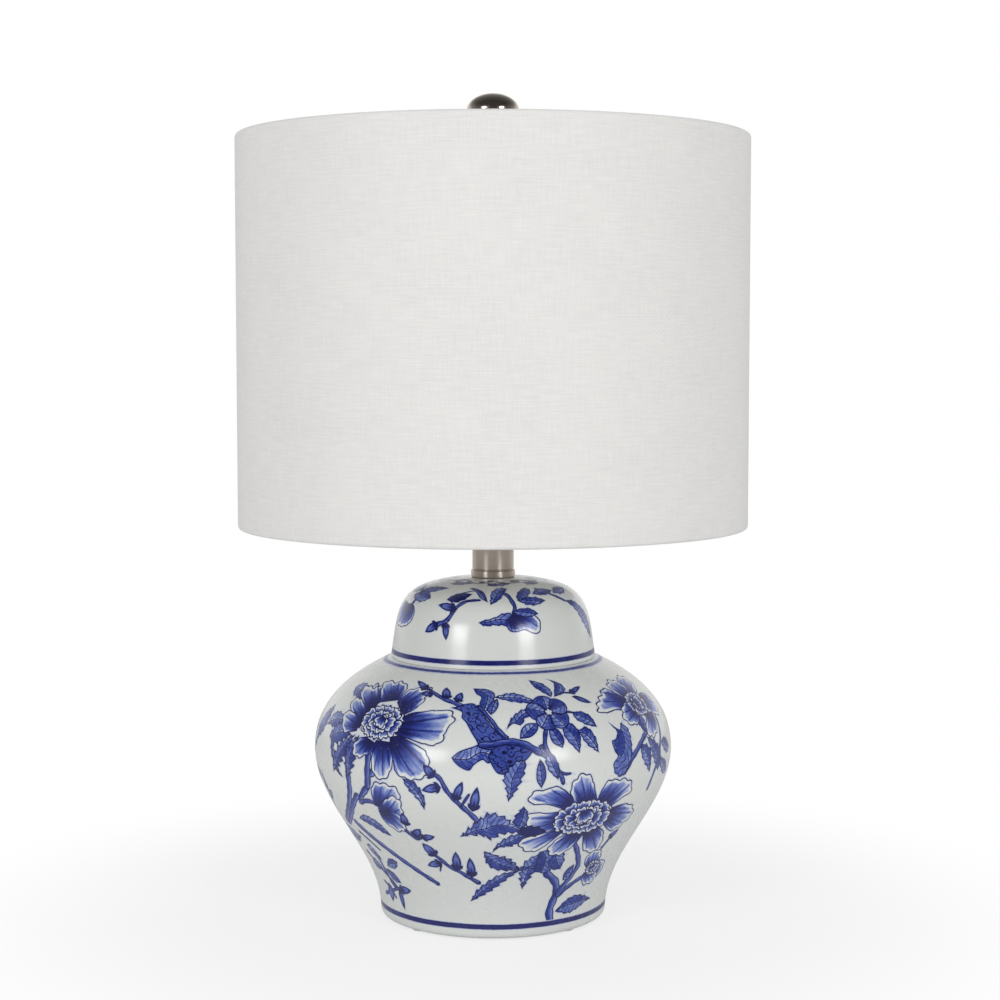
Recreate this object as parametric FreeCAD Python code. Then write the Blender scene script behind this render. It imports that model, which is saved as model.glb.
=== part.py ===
import FreeCAD, Part
import math
import os

# Ginger jar table lamp, in millimetres, with +Z up. The origin is where the axis of the
# jar meets the surface that the lamp stands on. The front of the lamp faces -Y.
# Everything is stacked on one hollow threaded rod: washers and a nut under the jar, then
# the jar, its lid, the metal neck, the harp saddle and the lamp socket. The harp stands
# on the saddle, the shade hangs from the harp's swivel stud, and the finial holds it.

V = FreeCAD.Vector
UP = V(0, 0, 1)

# ---- Driving dimensions: the jar ----
pad_height = 1.0
foot_radius = 73.8          # wall of the foot, just above its rounded edge
foot_edge_z = 5.0           # height where that rounded edge ends
stand_radius = 70.9         # outer edge of the ring that the jar stands on
belly_radius = 116.5        # widest part of the jar
belly_z = 111.0
shoulder_radius = 67.4      # where the shoulder meets the lid
seat_z = 169.8              # flat seat of the lid
lid_radius = 66.7
lid_side_z = 188.0          # top of the lid's slightly tapered side
lid_side_radius = 64.2
lid_top_z = 221.4
landing_radius = 15.0       # flat on top of the lid, under the collar
wall = 5.0                  # fired wall of the jar and of the lid
floor_z = 24.5              # ceiling of the recess under the jar
floor_top_z = 30.5
rod_hole_radius = 5.5

# ---- Driving dimensions: the shade and the finial ----
shade_radius = 165.1        # a drum 13 inches across
shade_bottom_z = 254.6
shade_top_z = 505.5
fabric = 0.6
liner = 0.5
frame_wire = 1.5            # radius of the shade's ring and spoke wire
lamp_top_z = 533.6

# ---- Driving dimensions: the stack on the rod ----
rod_radius = 4.9
rod_bore = 3.4
rod_bottom_z = 11.0
rod_top_z = 281.0
slip_gap = 0.2              # between the rod and what is slipped over it; nuts have none
nut_bottom_z = 14.5
lock_washer_z = 19.0
steel_washer_z = 20.0
rubber_washer_z = 21.5
collar_radius = 14.4
collar_top_z = 226.6
tube_radius = 13.5
tube_wall = 0.9
tube_top_z = 264.0
saddle_z = 266.0
saddle_plate = 1.5
saddle_nut_z = saddle_z + saddle_plate
socket_z = 270.5
shell_radius = 16.3
shell_wall = 0.7
shell_top_z = 332.0
block_top_z = 304.0
switch_z = 296.5
bulb_tip_z = 306.4

# ---- Driving dimensions: the harp ----
leg_x = 27.0                # centre of each leg, from the axis
ear_top_z = 281.5
peg_radius = 2.0
peg_top_z = 296.5
harp_wire = 1.9             # radius of the harp's wire
foot_sleeve = 3.0           # radius of the sleeve at the foot of each leg
harp_top_z = 489.6          # centre of the wire over the bulb
play = 0.3                  # room between pieces that move apart


# ---- Ways of making a solid ----

class Outline:
    """A closed half section drawn as (radius, height) points, spun about the Z axis."""

    def __init__(self, radius, height):
        self.first = V(radius, 0, height)
        self.last = self.first
        self.edges = []

    def line(self, radius, height):
        end = V(radius, 0, height)
        self.edges.append(Part.LineSegment(self.last, end).toShape())
        self.last = end
        return self

    def arc(self, through, end):
        middle = V(through[0], 0, through[1])
        end = V(end[0], 0, end[1])
        self.edges.append(Part.Arc(self.last, middle, end).toShape())
        self.last = end
        return self

    def curve(self, pull_out, pull_in, end):
        """A smooth curve that leaves towards pull_out and arrives from pull_in."""
        points = [self.last]
        points += [V(radius, 0, height) for radius, height in (pull_out, pull_in, end)]
        bend = Part.BezierCurve()
        bend.setPoles(points)
        self.edges.append(bend.toShape())
        self.last = points[-1]
        return self

    def dome(self, top):
        """A round cap from here up or down to the axis, which it meets squarely."""
        width = self.last.x
        rise = top - self.last.z
        radius = (width ** 2 + rise ** 2) / (2 * abs(rise))
        turn = math.asin(width / radius) / 2
        centre = top - math.copysign(radius, rise)
        middle = centre + math.copysign(radius * math.cos(turn), rise)
        return self.arc((radius * math.sin(turn), middle), (0, top))

    def solid(self):
        if self.last.distanceToPoint(self.first) > 0.001:
            self.line(self.first.x, self.first.z)
        face = Part.Face(Part.Wire(self.edges))
        spun = face.revolve(V(0, 0, 0), UP, 360)
        return Part.Solid(spun) if spun.ShapeType != "Solid" else spun


def disc(radius, bottom, top, x=0.0, y=0.0):
    return Part.makeCylinder(radius, top - bottom, V(x, y, bottom), UP)


def tube(inner, outer, bottom, top, x=0.0, y=0.0):
    return disc(outer, bottom, top, x, y).cut(disc(inner, bottom - 1, top + 1, x, y))


def lying_disc(radius, y_from, y_to, height):
    """A cylinder along Y through the axis of the lamp."""
    return Part.makeCylinder(radius, y_to - y_from, V(0, y_from, height), V(0, 1, 0))


def hex_nut(across_flats, bottom, top, bore):
    corner = across_flats / 2 / math.cos(math.radians(30))
    turns = [math.radians(60 * step) for step in range(7)]
    points = [V(corner * math.cos(turn), corner * math.sin(turn), bottom) for turn in turns]
    blank = Part.Face(Part.makePolygon(points)).extrude(V(0, 0, top - bottom))
    chamfer = 0.6
    rounding = Outline(0, bottom).line(across_flats / 2, bottom)
    rounding.line(corner, bottom + chamfer).line(corner, top - chamfer)
    rounding.line(across_flats / 2, top).line(0, top)
    return blank.common(rounding.solid()).cut(disc(bore, bottom - 1, top + 1))


def round_wire(edges, radius):
    """A round wire bent along edges that follow each other smoothly."""
    path = Part.Wire(edges)
    first = edges[0]
    heading = first.tangentAt(first.FirstParameter)
    section = Part.Wire(Part.makeCircle(radius, first.valueAt(first.FirstParameter), heading))
    return path.makePipeShell([section], True, False)


def turned(shape, angle):
    copy = shape.copy()
    copy.rotate(V(0, 0, 0), UP, angle)
    return copy


# ---- The jar and what it stands on ----

ring_inner = 62.0           # inside of the foot ring, where the jar stands
recess_radius = 66.0        # inside of the foot ring, at the top of its draft
cord_z = 14.5               # height of the cord's way out
cord_hole = 5.4
cord_seat_y = 73.5          # flat cut into the ring for the bushing's flange
flange_radius = 7.5


def foot_pads():
    """Four felt dots under the foot ring."""
    pad_radius = 4.0
    track = (ring_inner + stand_radius) / 2
    pads = []
    for quarter in range(4):
        turn = math.radians(45 + 90 * quarter)
        pads.append(disc(pad_radius, 0, pad_height, track * math.cos(turn), track * math.sin(turn)))
    return Part.makeCompound(pads)


def jar_wall():
    """The fired jar in one piece: foot ring, swelling belly, sloping shoulder, short neck."""
    neck_outer = 59.3
    neck_inner = neck_outer - wall
    neck_top_z = 182.0
    lip = (neck_outer - neck_inner) / 2
    inner_belly = belly_radius - wall
    outline = Outline(ring_inner, pad_height).line(stand_radius, pad_height)
    outline.arc((foot_radius - 0.8, 2.4), (foot_radius, foot_edge_z))
    outline.curve((75.3, 45.0), (belly_radius, 74.9), (belly_radius, belly_z))
    outline.curve((belly_radius, 128.8), (109.3, 150.6), (shoulder_radius, seat_z))
    outline.line(neck_outer, seat_z)
    outline.line(neck_outer, neck_top_z - lip)
    outline.arc((neck_outer - lip, neck_top_z), (neck_inner, neck_top_z - lip))
    outline.line(neck_inner, seat_z)
    outline.curve((99.0, 152.5), (inner_belly, 127.5), (inner_belly, belly_z))
    outline.curve((inner_belly, 82.0), (82.0, 53.5), (76.0, floor_top_z + 6))
    outline.arc((74.2, floor_top_z + 1.8), (70.0, floor_top_z))
    outline.line(rod_hole_radius, floor_top_z)
    outline.line(rod_hole_radius, floor_z)
    outline.line(recess_radius - 2.5, floor_z)
    outline.line(recess_radius, floor_z - 2.5)
    return outline.solid()


def below_the_floor():
    return disc(belly_radius, 0, floor_z)


def foot_ring():
    """The ring that is thrown apart and luted under the jar, with the cord's way out."""
    ring = jar_wall().common(below_the_floor())
    ring = ring.cut(lying_disc(cord_hole, ring_inner - 8, stand_radius + 10, cord_z))
    return ring.cut(lying_disc(flange_radius + 0.5, cord_seat_y, stand_radius + 10, cord_z))


def jar_body():
    """The jar above its foot ring, with a flat floor that the rod passes through."""
    return jar_wall().cut(below_the_floor())


def jar_lid():
    """The cap-shaped lid, which sits on the shoulder round the neck."""
    edge = 1.0
    inside = lid_radius - wall
    inside_top = lid_top_z - wall
    outline = Outline(inside, seat_z).line(lid_radius - edge, seat_z)
    outline.arc((lid_radius - 0.3 * edge, seat_z + 0.3 * edge), (lid_radius, seat_z + edge))
    outline.line(lid_side_radius, lid_side_z)
    outline.curve((60.0, 212.0), (53.0, 218.7), (landing_radius, lid_top_z))
    outline.line(rod_hole_radius, lid_top_z)
    outline.line(rod_hole_radius, inside_top)
    outline.line(landing_radius, inside_top)
    outline.curve((49.5, 214.2), (55.6, 207.5), (lid_side_radius - wall, lid_side_z))
    return outline.solid()


def cord_bushing():
    """The nylon bushing that the cord leaves by, at the back of the foot ring."""
    bore = 3.75
    shank = 5.2
    inner_end = 61.0
    flange = 2.0
    body = lying_disc(shank, inner_end, cord_seat_y, cord_z)
    plate = lying_disc(flange_radius, cord_seat_y, cord_seat_y + flange, cord_z)
    rim = [edge for edge in plate.Edges if edge.BoundBox.YMin > cord_seat_y + flange - 0.01]
    body = body.fuse(plate.makeFillet(0.8, rim))
    snap = Part.makeCone(shank, shank + 0.7, 1.8, V(0, inner_end, cord_z), V(0, 1, 0))
    hole = lying_disc(bore, inner_end - 1, cord_seat_y + flange + 1, cord_z)
    return body.fuse(snap).cut(hole).removeSplitter()


# ---- The rod and what clamps the jar ----

def lamp_rod():
    return tube(rod_bore, rod_radius, rod_bottom_z, rod_top_z)


def bottom_nut():
    return hex_nut(16.0, nut_bottom_z, lock_washer_z, rod_radius)


def lock_washer():
    return tube(rod_radius + slip_gap, 8.2, lock_washer_z, steel_washer_z)


def steel_washer():
    return tube(rod_radius + slip_gap, 18.0, steel_washer_z, rubber_washer_z)


def rubber_washer():
    return tube(rod_radius + slip_gap, 20.0, rubber_washer_z, floor_z)


# ---- The metal neck ----

spigot_radius = tube_radius - tube_wall - 0.1


def neck_collar():
    """The ring on top of the lid, with a spigot that centres the tube."""
    edge = 0.5
    bore = rod_radius + slip_gap
    outline = Outline(bore, lid_top_z).line(collar_radius - edge, lid_top_z)
    outline.line(collar_radius, lid_top_z + edge)
    outline.line(collar_radius, collar_top_z - edge)
    outline.line(collar_radius - edge, collar_top_z)
    outline.line(spigot_radius, collar_top_z).line(spigot_radius, collar_top_z + 2)
    outline.line(bore, collar_top_z + 2)
    return outline.solid()


def neck_tube():
    return tube(tube_radius - tube_wall, tube_radius, collar_top_z, tube_top_z)


def tube_cap():
    """The ring that closes the tube, under the saddle."""
    edge = 0.8
    bore = rod_radius + slip_gap
    outline = Outline(bore, tube_top_z - 2).line(spigot_radius, tube_top_z - 2)
    outline.line(spigot_radius, tube_top_z).line(collar_radius, tube_top_z)
    outline.line(collar_radius, saddle_z - edge)
    outline.arc((collar_radius - 0.3 * edge, saddle_z - 0.3 * edge), (collar_radius - edge, saddle_z))
    outline.line(bore, saddle_z)
    return outline.solid()


# ---- The harp, its saddle and its ferrules ----

def bent_strip(side):
    """One half of the saddle's strip: flat, then bent up into an ear."""
    bend = 3.0
    inner = leg_x - saddle_plate / 2
    outer = inner + saddle_plate
    low = saddle_z
    high = saddle_z + saddle_plate
    slant = math.sqrt(0.5)

    def at(x, z):
        return V(side * x, 0, z)

    centre_x = inner - bend
    centre_z = high + bend
    reach = bend + saddle_plate
    edges = [
        Part.LineSegment(at(0, low), at(centre_x, low)).toShape(),
        Part.Arc(at(centre_x, low), at(centre_x + slant * reach, centre_z - slant * reach),
                 at(outer, centre_z)).toShape(),
        Part.LineSegment(at(outer, centre_z), at(outer, ear_top_z)).toShape(),
        Part.LineSegment(at(outer, ear_top_z), at(inner, ear_top_z)).toShape(),
        Part.LineSegment(at(inner, ear_top_z), at(inner, centre_z)).toShape(),
        Part.Arc(at(inner, centre_z), at(centre_x + slant * bend, centre_z - slant * bend),
                 at(centre_x, high)).toShape(),
        Part.LineSegment(at(centre_x, high), at(0, high)).toShape(),
        Part.LineSegment(at(0, high), at(0, low)).toShape(),
    ]
    half_depth = 12.0
    face = Part.Face(Part.Wire(edges))
    face.translate(V(0, -half_depth, 0))
    return face.extrude(V(0, 2 * half_depth, 0))


def harp_saddle():
    """A steel strip, round in the middle, with an ear and a peg for each leg of the harp."""
    middle_radius = 11.0
    arm_width = 9.0
    strip = bent_strip(1).fuse(bent_strip(-1))
    plan = disc(middle_radius, saddle_z - 1, ear_top_z + 1)
    arms = Part.makeBox(4 * leg_x, arm_width, ear_top_z - saddle_z + 2,
                        V(-2 * leg_x, -arm_width / 2, saddle_z - 1))
    strip = strip.common(plan.fuse(arms))
    for side in (-1, 1):
        root_z = ear_top_z - 4
        strip = strip.fuse(disc(peg_radius, root_z, peg_top_z, side * leg_x))
    return strip.cut(disc(rod_radius + slip_gap, saddle_z - 1, saddle_nut_z + 1)).removeSplitter()


def saddle_nut():
    return hex_nut(14.3, saddle_nut_z, socket_z, rod_radius)


bow_x = 57.0                # widest half width of the harp
straight_z = 315.0          # where each leg starts to bend outwards
flare_turn = 35.0           # degrees that a leg leans out before it curls back
shoulder_turn = 45.0
flare_bend = 50.0
head_bend = 30.0
swivel_boss = 4.5
swivel_pin = 2.0
swivel_top_z = harp_top_z + harp_wire + 0.6


def walk(side, x, z, moves):
    """Edges in the XZ plane that leave (x, z) upwards and follow each other smoothly.

    A move is a straight length, or a (radius, degrees) bend, positive towards the axis.
    """
    heading = math.pi / 2
    edges = []
    for move in moves:
        start = V(side * x, 0, z)
        if not isinstance(move, tuple):
            x += move * math.cos(heading)
            z += move * math.sin(heading)
            edges.append(Part.LineSegment(start, V(side * x, 0, z)).toShape())
            continue
        radius, degrees = move
        turn = math.radians(degrees)
        reach = math.copysign(radius, turn)
        centre_x = x - reach * math.sin(heading)
        centre_z = z + reach * math.cos(heading)
        points = [start]
        for share in (0.5, 1.0):
            facing = heading + share * turn
            x = centre_x + reach * math.sin(facing)
            z = centre_z - reach * math.cos(facing)
            points.append(V(side * x, 0, z))
        edges.append(Part.Arc(*points).toShape())
        heading += turn
    return edges


def harp_side(side):
    """The centre line of one side of the harp, from its foot to the swivel boss."""
    foot_z = peg_top_z + 2
    lean = math.radians(flare_turn)
    curl = math.radians(shoulder_turn)
    belly_bend = (bow_x - leg_x) / (1 - math.cos(lean)) - flare_bend
    bow_z = straight_z + (flare_bend + belly_bend) * math.sin(lean)
    rise = harp_top_z - bow_z
    neck_bend = (rise - head_bend * (1 - math.sin(curl))) / math.sin(curl)
    head_x = bow_x - neck_bend * (1 - math.cos(curl)) - head_bend * math.cos(curl)
    moves = [straight_z - foot_z, (flare_bend, -flare_turn), (belly_bend, flare_turn),
             (neck_bend, shoulder_turn), (head_bend, 90 - shoulder_turn), head_x]
    return walk(side, leg_x, foot_z, moves)


def harp():
    """The bent wire that carries the shade, with a sleeve at each foot and a swivel boss."""
    boss_bottom = harp_top_z - 4
    whole = disc(swivel_boss, boss_bottom, swivel_top_z - play)
    for side in (-1, 1):
        whole = whole.fuse(round_wire(harp_side(side), harp_wire))
        sleeve = disc(foot_sleeve, ear_top_z + 1.5, peg_top_z + 3, side * leg_x)
        whole = whole.fuse(sleeve)
        whole = whole.cut(disc(peg_radius + play, ear_top_z, peg_top_z + 1, side * leg_x))
    return whole.cut(disc(swivel_pin + play, boss_bottom - 1, swivel_top_z))


def ferrule(side):
    """The loose sleeve that locks a leg of the harp onto its peg."""
    bore = foot_sleeve + play
    bottom = ear_top_z + 0.5
    top = bottom + 15.0
    x = side * leg_x
    barrel = tube(bore, bore + 1.0, bottom, top, x)
    for end in (bottom, top - 1.6):
        barrel = barrel.fuse(tube(bore, bore + 1.5, end, end + 1.6, x))
    return barrel.removeSplitter()


stud_radius = 3.0
stud_top_z = 505.0
hub_z = swivel_top_z + 1.4
hub_top_z = hub_z + 2.0


def harp_stud():
    """The swivel stud: a pin in the boss, a round plate, and a threaded post above it."""
    plate_radius = 7.0
    pin = disc(swivel_pin, harp_top_z - 3.8, swivel_top_z + 0.5)
    plate = disc(plate_radius, swivel_top_z, hub_z)
    post = disc(stud_radius, hub_z - 0.5, stud_top_z - 0.5)
    tip = Part.makeCone(stud_radius, stud_radius - 0.5, 0.5, V(0, 0, stud_top_z - 0.5), UP)
    return pin.fuse(plate).fuse(post).fuse(tip).removeSplitter()


# ---- The lamp socket ----

cap_radius = 17.2
cap_rim_z = 292.0
shell_inner = shell_radius - shell_wall
fibre = 0.5                 # thickness of the socket's fibre liner
stem_radius = 2.0


def socket_cap():
    """The bell-shaped lower half of the socket's outer shell, screwed on the rod."""
    hub = 8.0
    sheet = 0.8
    outline = Outline(rod_radius, socket_z).line(hub, socket_z)
    outline.line(hub, socket_z + 5.5)
    outline.curve((hub + 1, 281.0), (cap_radius, 281.0), (cap_radius, 287.0))
    outline.line(cap_radius, cap_rim_z).line(cap_radius - sheet, cap_rim_z)
    outline.line(cap_radius - sheet, 287.3)
    outline.curve((cap_radius - sheet, 282.0), (hub + 1, 282.0), (hub, socket_z + 7))
    outline.line(rod_radius, socket_z + 7)
    return outline.solid()


def socket_shell():
    """The upper half of the outer shell, beaded where it snaps into the cap."""
    bead = 0.8
    outline = Outline(shell_inner, 288.5).line(shell_radius, 288.5)
    outline.line(shell_radius, cap_rim_z).line(shell_radius + bead, cap_rim_z)
    outline.arc((shell_radius + 0.8 * bead, cap_rim_z + 1.3), (shell_radius, cap_rim_z + 1.8))
    outline.line(shell_radius, shell_top_z - 1.6)
    outline.arc((shell_radius + 0.8, shell_top_z - 0.8), (shell_radius, shell_top_z))
    outline.line(shell_inner, shell_top_z)
    hole = lying_disc(stem_radius + 0.8, -cap_radius - 5, -8, switch_z)
    return outline.solid().cut(hole)


def socket_liner():
    """The fibre tube that insulates the shell from the parts inside it."""
    hole = lying_disc(stem_radius + 1.2, -cap_radius - 5, -8, switch_z)
    return tube(shell_inner - fibre, shell_inner, 290.0, shell_top_z - 1).cut(hole)


def switch_block():
    """The moulded block that holds the switch and carries the screw shell."""
    outer = shell_inner - fibre
    outline = Outline(0, 283.0).line(11.5, 283.0).line(outer, 290.0)
    outline.line(outer, block_top_z).line(0, block_top_z)
    return outline.solid().cut(lying_disc(stem_radius + 0.08, -outer - 1, -8, switch_z))


screw_inner = 13.45
screw_wall = 0.4


def screw_shell():
    """The metal shell that the lamp bulb screws into."""
    flare = 0.5
    top = 329.0
    outer = screw_inner + screw_wall
    outline = Outline(screw_inner, block_top_z).line(outer, block_top_z)
    outline.line(outer, top - 1).line(outer + flare, top)
    outline.line(screw_inner + flare, top).line(screw_inner, top - 1)
    return outline.solid()


def centre_contact():
    """The brass contact that meets the tip of the bulb."""
    top = bulb_tip_z - play
    outline = Outline(0, block_top_z).line(4.0, block_top_z).line(4.0, block_top_z + 0.6)
    return outline.line(2.6, block_top_z + 0.6).dome(top).solid()


def switch_knob():
    """The turn key of the switch: a round stem and a flat paddle at the front."""
    stem_end = -9.0
    knob_near = -22.0
    knob_far = -33.0
    stem = lying_disc(stem_radius, knob_near - 3, stem_end, switch_z)
    barrel = lying_disc(4.2, knob_near - 5, knob_near, switch_z)
    thickness = 3.2
    half_height = 6.0
    corner = 2.5
    paddle = Part.makeBox(thickness, knob_near - 2 - knob_far, 2 * half_height,
                          V(-thickness / 2, knob_far, switch_z - half_height))
    outer_corners = [edge for edge in paddle.Edges
                     if edge.BoundBox.YMax < knob_far + 0.01 and edge.BoundBox.XLength > 1]
    paddle = paddle.makeFillet(corner, outer_corners)
    return stem.fuse(barrel).fuse(paddle).removeSplitter()


# ---- The bulb ----

def bulb_contact():
    """The solder button at the tip of the bulb."""
    rim_z = bulb_tip_z + 1.8
    return Outline(0, rim_z).line(4.5, rim_z).dome(bulb_tip_z).solid()


cap_bottom_z = bulb_tip_z + 4.6
cap_top_z = bulb_tip_z + 26.6
bulb_cap_radius = 13.05
cap_sheet = 0.4


def bulb_insulator():
    """The dark glass cone between the solder button and the screw cap."""
    bottom = bulb_tip_z + 1.8
    outline = Outline(0, bottom).line(4.8, bottom).line(9.2, cap_bottom_z).line(0, cap_bottom_z)
    return outline.solid()


def bulb_cap():
    """The screw cap, a thin metal cup with a rounded lower edge."""
    outline = Outline(0, cap_bottom_z).line(9.4, cap_bottom_z)
    outline.curve((11.8, cap_bottom_z), (12.6, cap_bottom_z + 1), (12.6, cap_bottom_z + 3))
    outline.line(bulb_cap_radius, cap_bottom_z + 4).line(bulb_cap_radius, cap_top_z)
    outline.line(bulb_cap_radius - cap_sheet, cap_top_z)
    outline.line(bulb_cap_radius - cap_sheet, cap_bottom_z + 4)
    outline.line(9.4, cap_bottom_z + cap_sheet).line(0, cap_bottom_z + cap_sheet)
    return outline.solid()


def bulb_glass():
    """The frosted bulb, a blown shell with its neck cemented in the cap."""
    glass = 0.8
    neck = bulb_cap_radius - cap_sheet
    neck_bottom = cap_top_z - 6
    globe = 30.0
    globe_z = 384.0
    top_z = globe_z + globe

    def side(inset):
        near = neck - inset
        wide = globe - inset
        return [(near, 338.0), (near + 1.5, 346.0), (wide, 362.0), (wide, globe_z)]

    outer = side(0)
    inner = side(glass)
    outline = Outline(neck - glass, neck_bottom).line(neck, neck_bottom).line(*outer[0])
    outline.curve(outer[1], outer[2], outer[3])
    slant = math.sqrt(0.5)
    outline.arc((globe * slant, globe_z + globe * slant), (0, top_z))
    outline.line(0, top_z - glass)
    hollow = globe - glass
    outline.arc((hollow * slant, globe_z + hollow * slant), (hollow, globe_z))
    outline.curve(inner[2], inner[1], inner[0])
    return outline.solid()


# ---- The shade ----

hem_radius = frame_wire + 0.1 + fabric
ring_radius = shade_radius - hem_radius
top_ring_z = shade_top_z - hem_radius
bottom_ring_z = shade_bottom_z + hem_radius
hem_depth = 9.0
spoke_turns = (90, 210, 330)


def shade_fabric():
    """The linen drum, rolled round the wire ring at the top and at the bottom."""
    inner_wall = shade_radius - fabric
    tuck = inner_wall - liner - fabric - 0.1
    near = hem_radius - fabric
    outline = Outline(shade_radius, bottom_ring_z).line(shade_radius, top_ring_z)
    outline.arc((ring_radius, shade_top_z), (ring_radius - hem_radius, top_ring_z))
    outline.line(tuck, top_ring_z - hem_depth).line(tuck + fabric, top_ring_z - hem_depth)
    outline.line(ring_radius - near, top_ring_z)
    outline.arc((ring_radius, top_ring_z + near), (inner_wall, top_ring_z))
    outline.line(inner_wall, bottom_ring_z)
    outline.arc((ring_radius, bottom_ring_z - near), (ring_radius - near, bottom_ring_z))
    outline.line(tuck + fabric, bottom_ring_z + hem_depth).line(tuck, bottom_ring_z + hem_depth)
    outline.line(ring_radius - hem_radius, bottom_ring_z)
    outline.arc((ring_radius, shade_bottom_z), (shade_radius, bottom_ring_z))
    drum = outline.solid()
    notch_width = 7.0
    notch_depth = hem_depth + frame_wire + 2
    for turn in spoke_turns:
        notch = Part.makeBox(8.0, notch_width, notch_depth,
                             V(ring_radius - 6.6, -notch_width / 2, top_ring_z + 0.6 - notch_depth))
        drum = drum.cut(turned(notch, turn))
    return drum


def shade_liner():
    """The stiff plastic sheet that the linen is glued to."""
    outer = shade_radius - fabric
    gap = frame_wire + 0.3
    return tube(outer - liner, outer, bottom_ring_z + gap, top_ring_z - gap)


def shade_spider():
    """The top ring with three spokes that drop to a hub, welded into one frame."""
    hub_radius = 12.5
    spoke_z = (hub_z + hub_top_z) / 2
    knee = 148.0
    bend = 14.0
    frame = Part.makeTorus(ring_radius, frame_wire, V(0, 0, top_ring_z), UP)
    slope = math.atan2(top_ring_z - spoke_z, ring_radius - knee)
    run = bend * math.tan(slope / 2)

    def at(radius, height):
        return V(radius, 0, height)

    start = at(knee - run, spoke_z)
    middle = at(knee - run + bend * math.sin(slope / 2), spoke_z + bend * (1 - math.cos(slope / 2)))
    finish = at(knee + run * math.cos(slope), spoke_z + run * math.sin(slope))
    tip = at(ring_radius, top_ring_z)
    edges = [
        Part.LineSegment(at(hub_radius - 3, spoke_z), start).toShape(),
        Part.Arc(start, middle, finish).toShape(),
        Part.LineSegment(finish, tip).toShape(),
    ]
    spoke = round_wire(edges, frame_wire * 0.9)
    hub = disc(hub_radius, hub_z, hub_top_z)
    frame = frame.fuse([hub] + [turned(spoke, turn) for turn in spoke_turns])
    return frame.cut(disc(stud_radius + 0.3, hub_z - 1, hub_top_z + 1))


def shade_bottom_ring():
    return Part.makeTorus(ring_radius, frame_wire, V(0, 0, bottom_ring_z), UP)


# ---- The finial ----

finial_z = hub_top_z + play
insert_radius = 5.0
neck_top_z = 513.6


def finial_insert():
    """The brass insert that screws onto the stud."""
    top = stud_top_z + 1.5
    blind = stud_top_z + play
    insert = disc(insert_radius, finial_z, top)
    return insert.cut(disc(stud_radius + 0.08, finial_z - 1, blind))


def finial_base():
    """The turned foot and waist of the finial."""
    socket_top = stud_top_z + 1.6
    outline = Outline(insert_radius + 0.03, finial_z).line(8.6, finial_z)
    outline.arc((9.6, finial_z + 1.2), (8.6, finial_z + 2.4))
    outline.curve((7.0, finial_z + 3.5), (6.4, finial_z + 6), (6.4, finial_z + 9))
    outline.curve((6.4, finial_z + 13), (6.0, neck_top_z - 2), (7.2, neck_top_z))
    outline.line(0, neck_top_z)
    outline.line(0, socket_top).line(insert_radius + 0.03, socket_top)
    return outline.solid()


def finial_knob():
    """The flattened ball on top, cut flat where it meets the waist."""
    half_width = 16.8
    half_height = 10.6
    ball = Part.makeSphere(1.0)
    stretch = FreeCAD.Matrix()
    stretch.scale(half_width, half_width, half_height)
    ball = ball.transformGeometry(stretch)
    ball.translate(V(0, 0, lamp_top_z - half_height))
    return ball.cut(disc(2 * half_width, neck_top_z - 20, neck_top_z))


parts = {
    "foot_pads": foot_pads(),
    "foot_ring": foot_ring(),
    "jar_body": jar_body(),
    "jar_lid": jar_lid(),
    "cord_bushing": cord_bushing(),
    "lamp_rod": lamp_rod(),
    "bottom_nut": bottom_nut(),
    "lock_washer": lock_washer(),
    "steel_washer": steel_washer(),
    "rubber_washer": rubber_washer(),
    "neck_collar": neck_collar(),
    "neck_tube": neck_tube(),
    "tube_cap": tube_cap(),
    "harp_saddle": harp_saddle(),
    "saddle_nut": saddle_nut(),
    "socket_cap": socket_cap(),
    "socket_shell": socket_shell(),
    "socket_liner": socket_liner(),
    "switch_block": switch_block(),
    "screw_shell": screw_shell(),
    "centre_contact": centre_contact(),
    "switch_knob": switch_knob(),
    "bulb_contact": bulb_contact(),
    "bulb_insulator": bulb_insulator(),
    "bulb_cap": bulb_cap(),
    "bulb_glass": bulb_glass(),
    "harp": harp(),
    "ferrule_left": ferrule(-1),
    "ferrule_right": ferrule(1),
    "harp_stud": harp_stud(),
    "shade_fabric": shade_fabric(),
    "shade_liner": shade_liner(),
    "shade_spider": shade_spider(),
    "shade_bottom_ring": shade_bottom_ring(),
    "finial_insert": finial_insert(),
    "finial_base": finial_base(),
    "finial_knob": finial_knob(),
}

os.makedirs("parts", exist_ok=True)
for name, shape in parts.items():
    shape.exportStep("parts/" + name + ".step")
    box = shape.BoundBox
    print(name, "solids", len(shape.Solids), "valid", shape.isValid(),
          "z %.1f to %.1f" % (box.ZMin, box.ZMax), "volume %.0f" % shape.Volume)
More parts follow.
